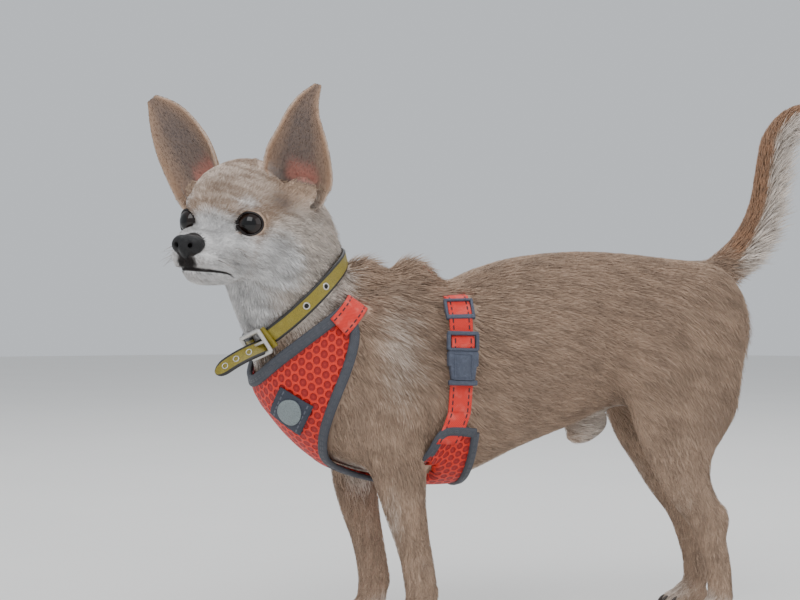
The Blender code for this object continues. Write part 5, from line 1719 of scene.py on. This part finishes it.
def frame_at(point, axes):
    """A frame at a point, from its three axes."""
    out = Matrix.Identity(4)
    for column, axis in enumerate(axes):
        for row in range(3):
            out[row][column] = axis[row]
    return Matrix.Translation(Vector(point)) @ out


def strip_frame(path, ups, *_):
    """A frame at the middle of a strap, as ring_path gives it: X across it, Y along it and Z up."""
    i = len(path) // 2
    along = rows_unit(path[i + 1] - path[i - 1])
    z = ups[i]
    y = rows_unit(along - z * (along @ z))
    return frame_at(path[i], (np.cross(y, z), y, z))


def solid_of(name, bm, material):
    """Make an object of a mesh in millimetres of the dog's frame."""
    for vertex in bm.verts:
        vertex.co = (vertex.co + Vector(SHIFT)) * MM
    bmesh.ops.recalc_face_normals(bm, faces=bm.faces)
    mesh = closed_mesh(bm, name)
    mesh.shade_smooth()
    return object_of(name, mesh, material)


def boxes_solid(name, boxes, there, material):
    """An object of rounded boxes in a frame."""
    bm = bmesh.new()
    for centre, half, bevel, taper in boxes:
        box_part(bm, centre, half, there, bevel, taper)
    return solid_of(name, bm, material)


class MakeStraps(bpy.types.Operator):
    """Run the webbing round the dog, with its adjusters and buckles"""

    bl_idname = "dog.straps"
    bl_label = "Straps and buckles"

    def execute(self, context):
        settings = context.scene.dog_harness
        width = settings.webbing_width / MM
        webbing = group_material(
            "webbing", "Woven webbing", 0.6, Colour=tuple(settings.webbing), Stitch=tuple(settings.stitches),
            Width=settings.webbing_width,
        )
        plastic = group_material(
            "buckle plastic", "Grain", 0.4, Colour=tuple(settings.plastic), Worn=(0.17, 0.20, 0.28, 1), Scale=2600.0
        )
        profile = strap_profile(width, WEBBING_THICK)
        girth = (GIRTH_CENTRE, GIRTH_NORMAL)
        # Name, plane, the degrees from the top where it starts and ends, and whether it stands for its solid
        runs = [
            ("neck_strap", (NECK_STRAP_CENTRE, COLLAR_NORMAL), -92, 92, True), ("girth_top", girth, -36, 36, True),
        ]
        for side, word in ((-1, "left"), (1, "right")):
            runs += [
                (f"girth_link_{word}", girth, side * 33, side * 64, True),
                (f"girth_lower_{word}", girth, side * 95, side * 119, True),
                (f"girth_stitched_{word}", girth, side * 118.5, side * 137, False),
            ]
        for name, plane, first, last, stands in runs:
            steps = max(int(abs(last - first) / 2.5), 7)
            lifts, lean = WEBBING_LIFT, 0.0
            round_it = np.abs(np.linspace(first, last, steps))
            if name == "neck_strap":
                lifts = WEBBING_LIFT + np.interp(round_it, (44, 54, 64, 74), (-14, -7, 0, 3.5))
            if name == "girth_top":
                lifts = WEBBING_LIFT + np.interp(round_it, (14, 26, 33), (-12, -6, 0))
            if "stitched" in name:
                lifts = WEBBING_LIFT + np.linspace(0, 1, steps) ** 0.5 * 3.2
                lean = np.linspace(0, 0.11, steps)
            path, ups, across = ring_path(*plane, first, last, width, steps, lifts, lean)
            if "link" in name:
                path = path + ups * (1.6 * np.sin(np.linspace(0, math.pi, steps)) ** 2)[:, None]
            nodes = ["harness_" + name] if stands else []
            ridden(band(name, path, ups, profile, webbing, across=across), "webbing", *nodes)
        path, ups, across = [], [], []
        for x in np.linspace(1, 20, 9):
            hits = [cast((x, y, 190), (0, 0, 1)) for y in (-7, 0, 7)]
            path.append(hits[1][0] - np.array((0, 0, 5.4)))
            ups.append(hits[1][1])
            across.append((0, 1, 0))
        back = band("back_strap", path, ups, profile, webbing, across=np.array(across, float))
        # The coat grows over it, so it isn't among the pieces that the tufts make room for
        ridden(back, None, "harness_back_strap")
        for side, word in ((-1, "left"), (1, "right")):
            there = strip_frame(*ring_path(*girth, side * 36, side * 50, width, 7, 3.0))
            adjuster = boxes_solid(f"adjuster_{word}", ADJUSTER, there, plastic)
            ridden(adjuster, "buckle_plastic", f"harness_adjuster_{word}")
            there = strip_frame(*ring_path(*girth, side * 66, side * 92, width, 9, 3.4))
            buckle = boxes_solid(f"release_buckle_{word}", RELEASE_BUCKLE, there, plastic)
            ridden(buckle, "buckle_plastic", f"harness_buckle_{word}")
            path, ups, across = ring_path(*girth, side * 61, side * 74, width, 7, WEBBING_LIFT)
            path = path + ups * (3.2 * np.sin(np.linspace(0, math.pi, 7)) ** 0.5)[:, None]
            ridden(band(f"girth_loop_{word}", path, ups, profile, webbing, across=across), "webbing")
        return {"FINISHED"}


class MakeCollar(bpy.types.Operator):
    """Buckle the leather collar round the neck"""

    bl_idname = "dog.collar"
    bl_label = "Collar"

    def execute(self, context):
        settings = context.scene.dog_collar
        width = settings.width / MM
        leather, tree, shader = finish_material("collar leather", 0.45, Coat_Weight=0.15, Coat_Roughness=0.3)
        made = placed(tree, "Grain", Colour=tuple(settings.leather), Worn=(0.40, 0.34, 0.06, 1), Scale=1500.0)
        flat = cloth_place(tree)
        border = settings.width / 2
        edge = ramp(tree, maths(tree, "ABSOLUTE", flat[1]), border - 0.0019, border - 0.0013)
        tone = mix(tree, edge, made["Colour"], tuple(settings.edge))
        tree.links.new(tone, shader.inputs["Base Color"])
        tree.links.new(made["Roughness"], shader.inputs["Roughness"])
        bump(tree, shader, made["Height"], 0.35, 0.0002)
        metal, tree, shader = finish_material("nickel", 0.2, 1.0)
        made = placed(tree, "Grain", Colour=tuple(settings.metal), Worn=(0.50, 0.46, 0.40, 1), Scale=500.0)
        tree.links.new(mix(tree, 0.25, tuple(settings.metal), made["Colour"]), shader.inputs["Base Color"])
        tree.links.new(made["Roughness"], shader.inputs["Roughness"])
        profile = strap_profile(width, COLLAR_THICK, COLLAR_ROUNDING)
        path, ups, across = ring_path(COLLAR_CENTRE, COLLAR_NORMAL, *COLLAR_SPAN, width, 130, 0.9)
        ridden(band("collar", path, ups, profile, leather, across=across), "collar_leather", "collar_strap")
        bm = bmesh.new()
        # Painted shadow: black discs fill the eyelets where the holes are
        holes = bmesh.new()
        for angle in EYELETS:
            i = int(round((angle - COLLAR_SPAN[0]) / (COLLAR_SPAN[1] - COLLAR_SPAN[0]) * (len(path) - 1)))
            there = strip_frame(path[i - 1 : i + 2], ups[i - 1 : i + 2])
            add_ring(bm, there @ Matrix.Translation((0, 0, 2.0)), 1.9, 0.5)
            bmesh.ops.create_cone(
                holes, cap_ends=True, segments=16, radius1=1.6, radius2=1.6, depth=0.5,
                matrix=there @ Matrix.Translation((0, 0, 1.9)),
            )
        ridden(solid_of("collar_eyelets", bm, metal), "nickel")
        # The discs' material is painted shadow in the holes
        dark, tree, shader = finish_material("hole", 0.8)
        made = placed(tree, "Grain", Colour=tuple(settings.edge), Worn=(0.02, 0.018, 0.016, 1), Scale=1500.0)
        tree.links.new(made["Colour"], shader.inputs["Base Color"])
        ridden(solid_of("collar_holes", holes, dark), "collar_leather")
        there = strip_frame(*ring_path(COLLAR_CENTRE, COLLAR_NORMAL, -148, -162, width, 7, 4.6))
        ridden(boxes_solid("buckle_frame", COLLAR_BUCKLE, there, metal), "nickel", "collar_buckle")
        there = strip_frame(*ring_path(COLLAR_CENTRE, COLLAR_NORMAL, -136, -144, width, 7, 3.2))
        ridden(boxes_solid("keeper", KEEPER, there, leather), "collar_leather", "collar_keeper")
        self.loose_end(leather, metal, width)
        return {"FINISHED"}

    def loose_end(self, leather, metal, width):
        """The strap's end past its keeper, with its holes and its painted edge."""
        start, end = np.array(COLLAR_END)
        way = rows_unit(end - start)
        across = rows_unit(np.cross(way, (0.25, 0.95, 0.1)))
        up = np.cross(across, way)
        # It hangs twisted, so it shows partly edge on
        across, up = across * 0.82 - up * 0.57, up * 0.82 + across * 0.57
        length = np.linalg.norm(end - start)
        shares = np.concatenate([np.linspace(0, 0.8, 14), [0.85, 0.9, 0.94, 0.97, 0.99, 1.0]])

        def hung(share):
            return start + way * (length * share) - up * (3.0 * math.sin(math.pi * share) - 0.6)

        path = np.array([hung(share) for share in shares])
        profile = strap_profile(width, COLLAR_THICK, COLLAR_ROUNDING)
        ups, acrosses = np.tile(up, (len(path), 1)), np.tile(across, (len(path), 1))
        tail = band("collar_loose_end", path, ups, profile, leather, across=acrosses)
        points = coordinates(tail.data).reshape(len(path), -1, 3)
        for i, share in enumerate(shares):
            narrow = math.sqrt(max(1 - max((share - 0.76) / 0.245, 0) ** 2, 0.01))
            off = (points[i] - path[i]) @ across
            points[i] = points[i] + across[None] * (off * (narrow - 1))[:, None]
        place(tail.data, points.reshape(-1, 3))
        ridden(tail, "collar_leather", "collar_end")
        bm = bmesh.new()
        for share in (0.3, 0.55, 0.78):
            there = frame_at(hung(share), (across, way, up))
            for z in (COLLAR_THICK, 0.0):
                add_ring(bm, there @ Matrix.Translation((0, 0, z)), 1.8, 0.4)
        ridden(solid_of("collar_end_eyelets", bm, metal), "nickel")


def add_ring(bm, there, radius, girth):
    """Add a small torus that lies in a frame's XY plane."""
    rings = []
    steps, sides = 16, 6
    for i in range(steps):
        turn = 2 * math.pi * i / steps
        ring = []
        for j in range(sides):
            roll = 2 * math.pi * j / sides
            reach = radius + girth * math.cos(roll)
            point = Vector((reach * math.cos(turn), reach * math.sin(turn), girth * math.sin(roll)))
            ring.append(bm.verts.new(there @ point))
        rings.append(ring)
    for i, a in enumerate(rings):
        b = rings[(i + 1) % steps]
        for j in range(sides):
            k = (j + 1) % sides
            bm.faces.new((a[j], a[k], b[k], b[j]))


class NoteWorn(bpy.types.Operator):
    """Note what the dog wears, so that no tuft grows up through it"""

    bl_idname = "dog.note_worn"
    bl_label = "Note what is worn"

    def execute(self, context):
        MADE["worn"] = tree_of(*(obj.data for obj in MADE["clothes"]))
        return {"FINISHED"}


class MakeStage(bpy.types.Operator):
    """Lay the floor, light it softly and set the camera"""

    bl_idname = "dog.stage"
    bl_label = "Stage"

    def execute(self, context):
        settings = context.scene.dog_stage
        bm = bmesh.new()
        bmesh.ops.create_circle(bm, cap_ends=True, segments=96, radius=4.0)
        mesh = closed_mesh(bm, "floor")
        material, tree, shader = finish_material("floor", 0.8)
        cloud = ramp(tree, clouds(tree, 6.0, 3.0), 0.3, 0.7, 0.0, 0.06)
        tone = mix(tree, cloud, tuple(settings.floor), (0.6, 0.6, 0.6, 1))
        tree.links.new(tone, shader.inputs["Base Color"])
        object_of("floor", mesh, material)
        world = bpy.data.worlds.new("soft light")
        world.use_nodes = True
        sky = world.node_tree.nodes["Background"]
        sky.inputs["Color"].default_value = tuple(settings.sky)
        sky.inputs["Strength"].default_value = 0.75
        context.scene.world = world
        for name, where, reach, share in LIGHTS:
            light = bpy.data.lights.new(name, "AREA")
            light.size = reach
            light.energy = settings.key * share
            lamp = bpy.data.objects.new(name, light)
            lamp.location = where
            lamp.rotation_euler = (Vector((0, 0, 0.2)) - Vector(where)).to_track_quat("-Z", "Y").to_euler()
            context.scene.collection.objects.link(lamp)
        camera = bpy.data.cameras.new("camera")
        camera.lens = CAMERA_LENS
        camera.sensor_width = 36.0
        camera.clip_start = 0.05
        eye = bpy.data.objects.new("camera", camera)
        eye.location = Vector((np.array(CAMERA_PLACE) + SHIFT) * MM)
        eye.rotation_euler = (math.radians(90 - CAMERA_TURN[0]), 0, math.radians(CAMERA_TURN[1]))
        context.scene.collection.objects.link(eye)
        context.scene.camera = eye
        return {"FINISHED"}


class DogPanel(bpy.types.Panel):
    """The dog's settings and the pieces in the order they are made"""

    bl_idname = "VIEW3D_PT_dog"
    bl_label = "Chihuahua"
    bl_space_type = "VIEW_3D"
    bl_region_type = "UI"
    bl_category = "Chihuahua"

    def draw(self, context):
        for name in SETTINGS:
            box = self.layout.box()
            values = getattr(context.scene, name)
            for field in values.__annotations__:
                box.prop(values, field)
        for piece in PIECES:
            self.layout.operator(piece.bl_idname)


SETTINGS = {
    "dog_coat": CoatSettings,
    "dog_head": HeadSettings,
    "dog_harness": HarnessSettings,
    "dog_collar": CollarSettings,
    "dog_stage": StageSettings,
}
PIECES = [
    MakeSkin, MakeEyes, MakeNose, MakeClaws, MakeWhiskers, MakeHarness, MakeStraps, MakeCollar, NoteWorn, MakeCoat,
    MakeStage,
]


def register():
    """Add the settings, the operators and the panel."""
    for kind in (*SETTINGS.values(), *PIECES, DogPanel):
        bpy.utils.register_class(kind)
    for name, kind in SETTINGS.items():
        setattr(bpy.types.Scene, name, bpy.props.PointerProperty(type=kind))


def unregister():
    """Take them away again."""
    for name in SETTINGS:
        delattr(bpy.types.Scene, name)
    for kind in (DogPanel, *reversed(PIECES), *SETTINGS.values()):
        bpy.utils.unregister_class(kind)


def main():
    """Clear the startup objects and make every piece."""
    for name in ("Cube", "Light", "Camera"):
        if name in bpy.data.objects:
            bpy.data.objects.remove(bpy.data.objects[name])
    register()
    make_groups()
    for piece in PIECES:
        area, name = piece.bl_idname.split(".")
        getattr(getattr(bpy.ops, area), name)()


if __name__ == "__main__":
    main()
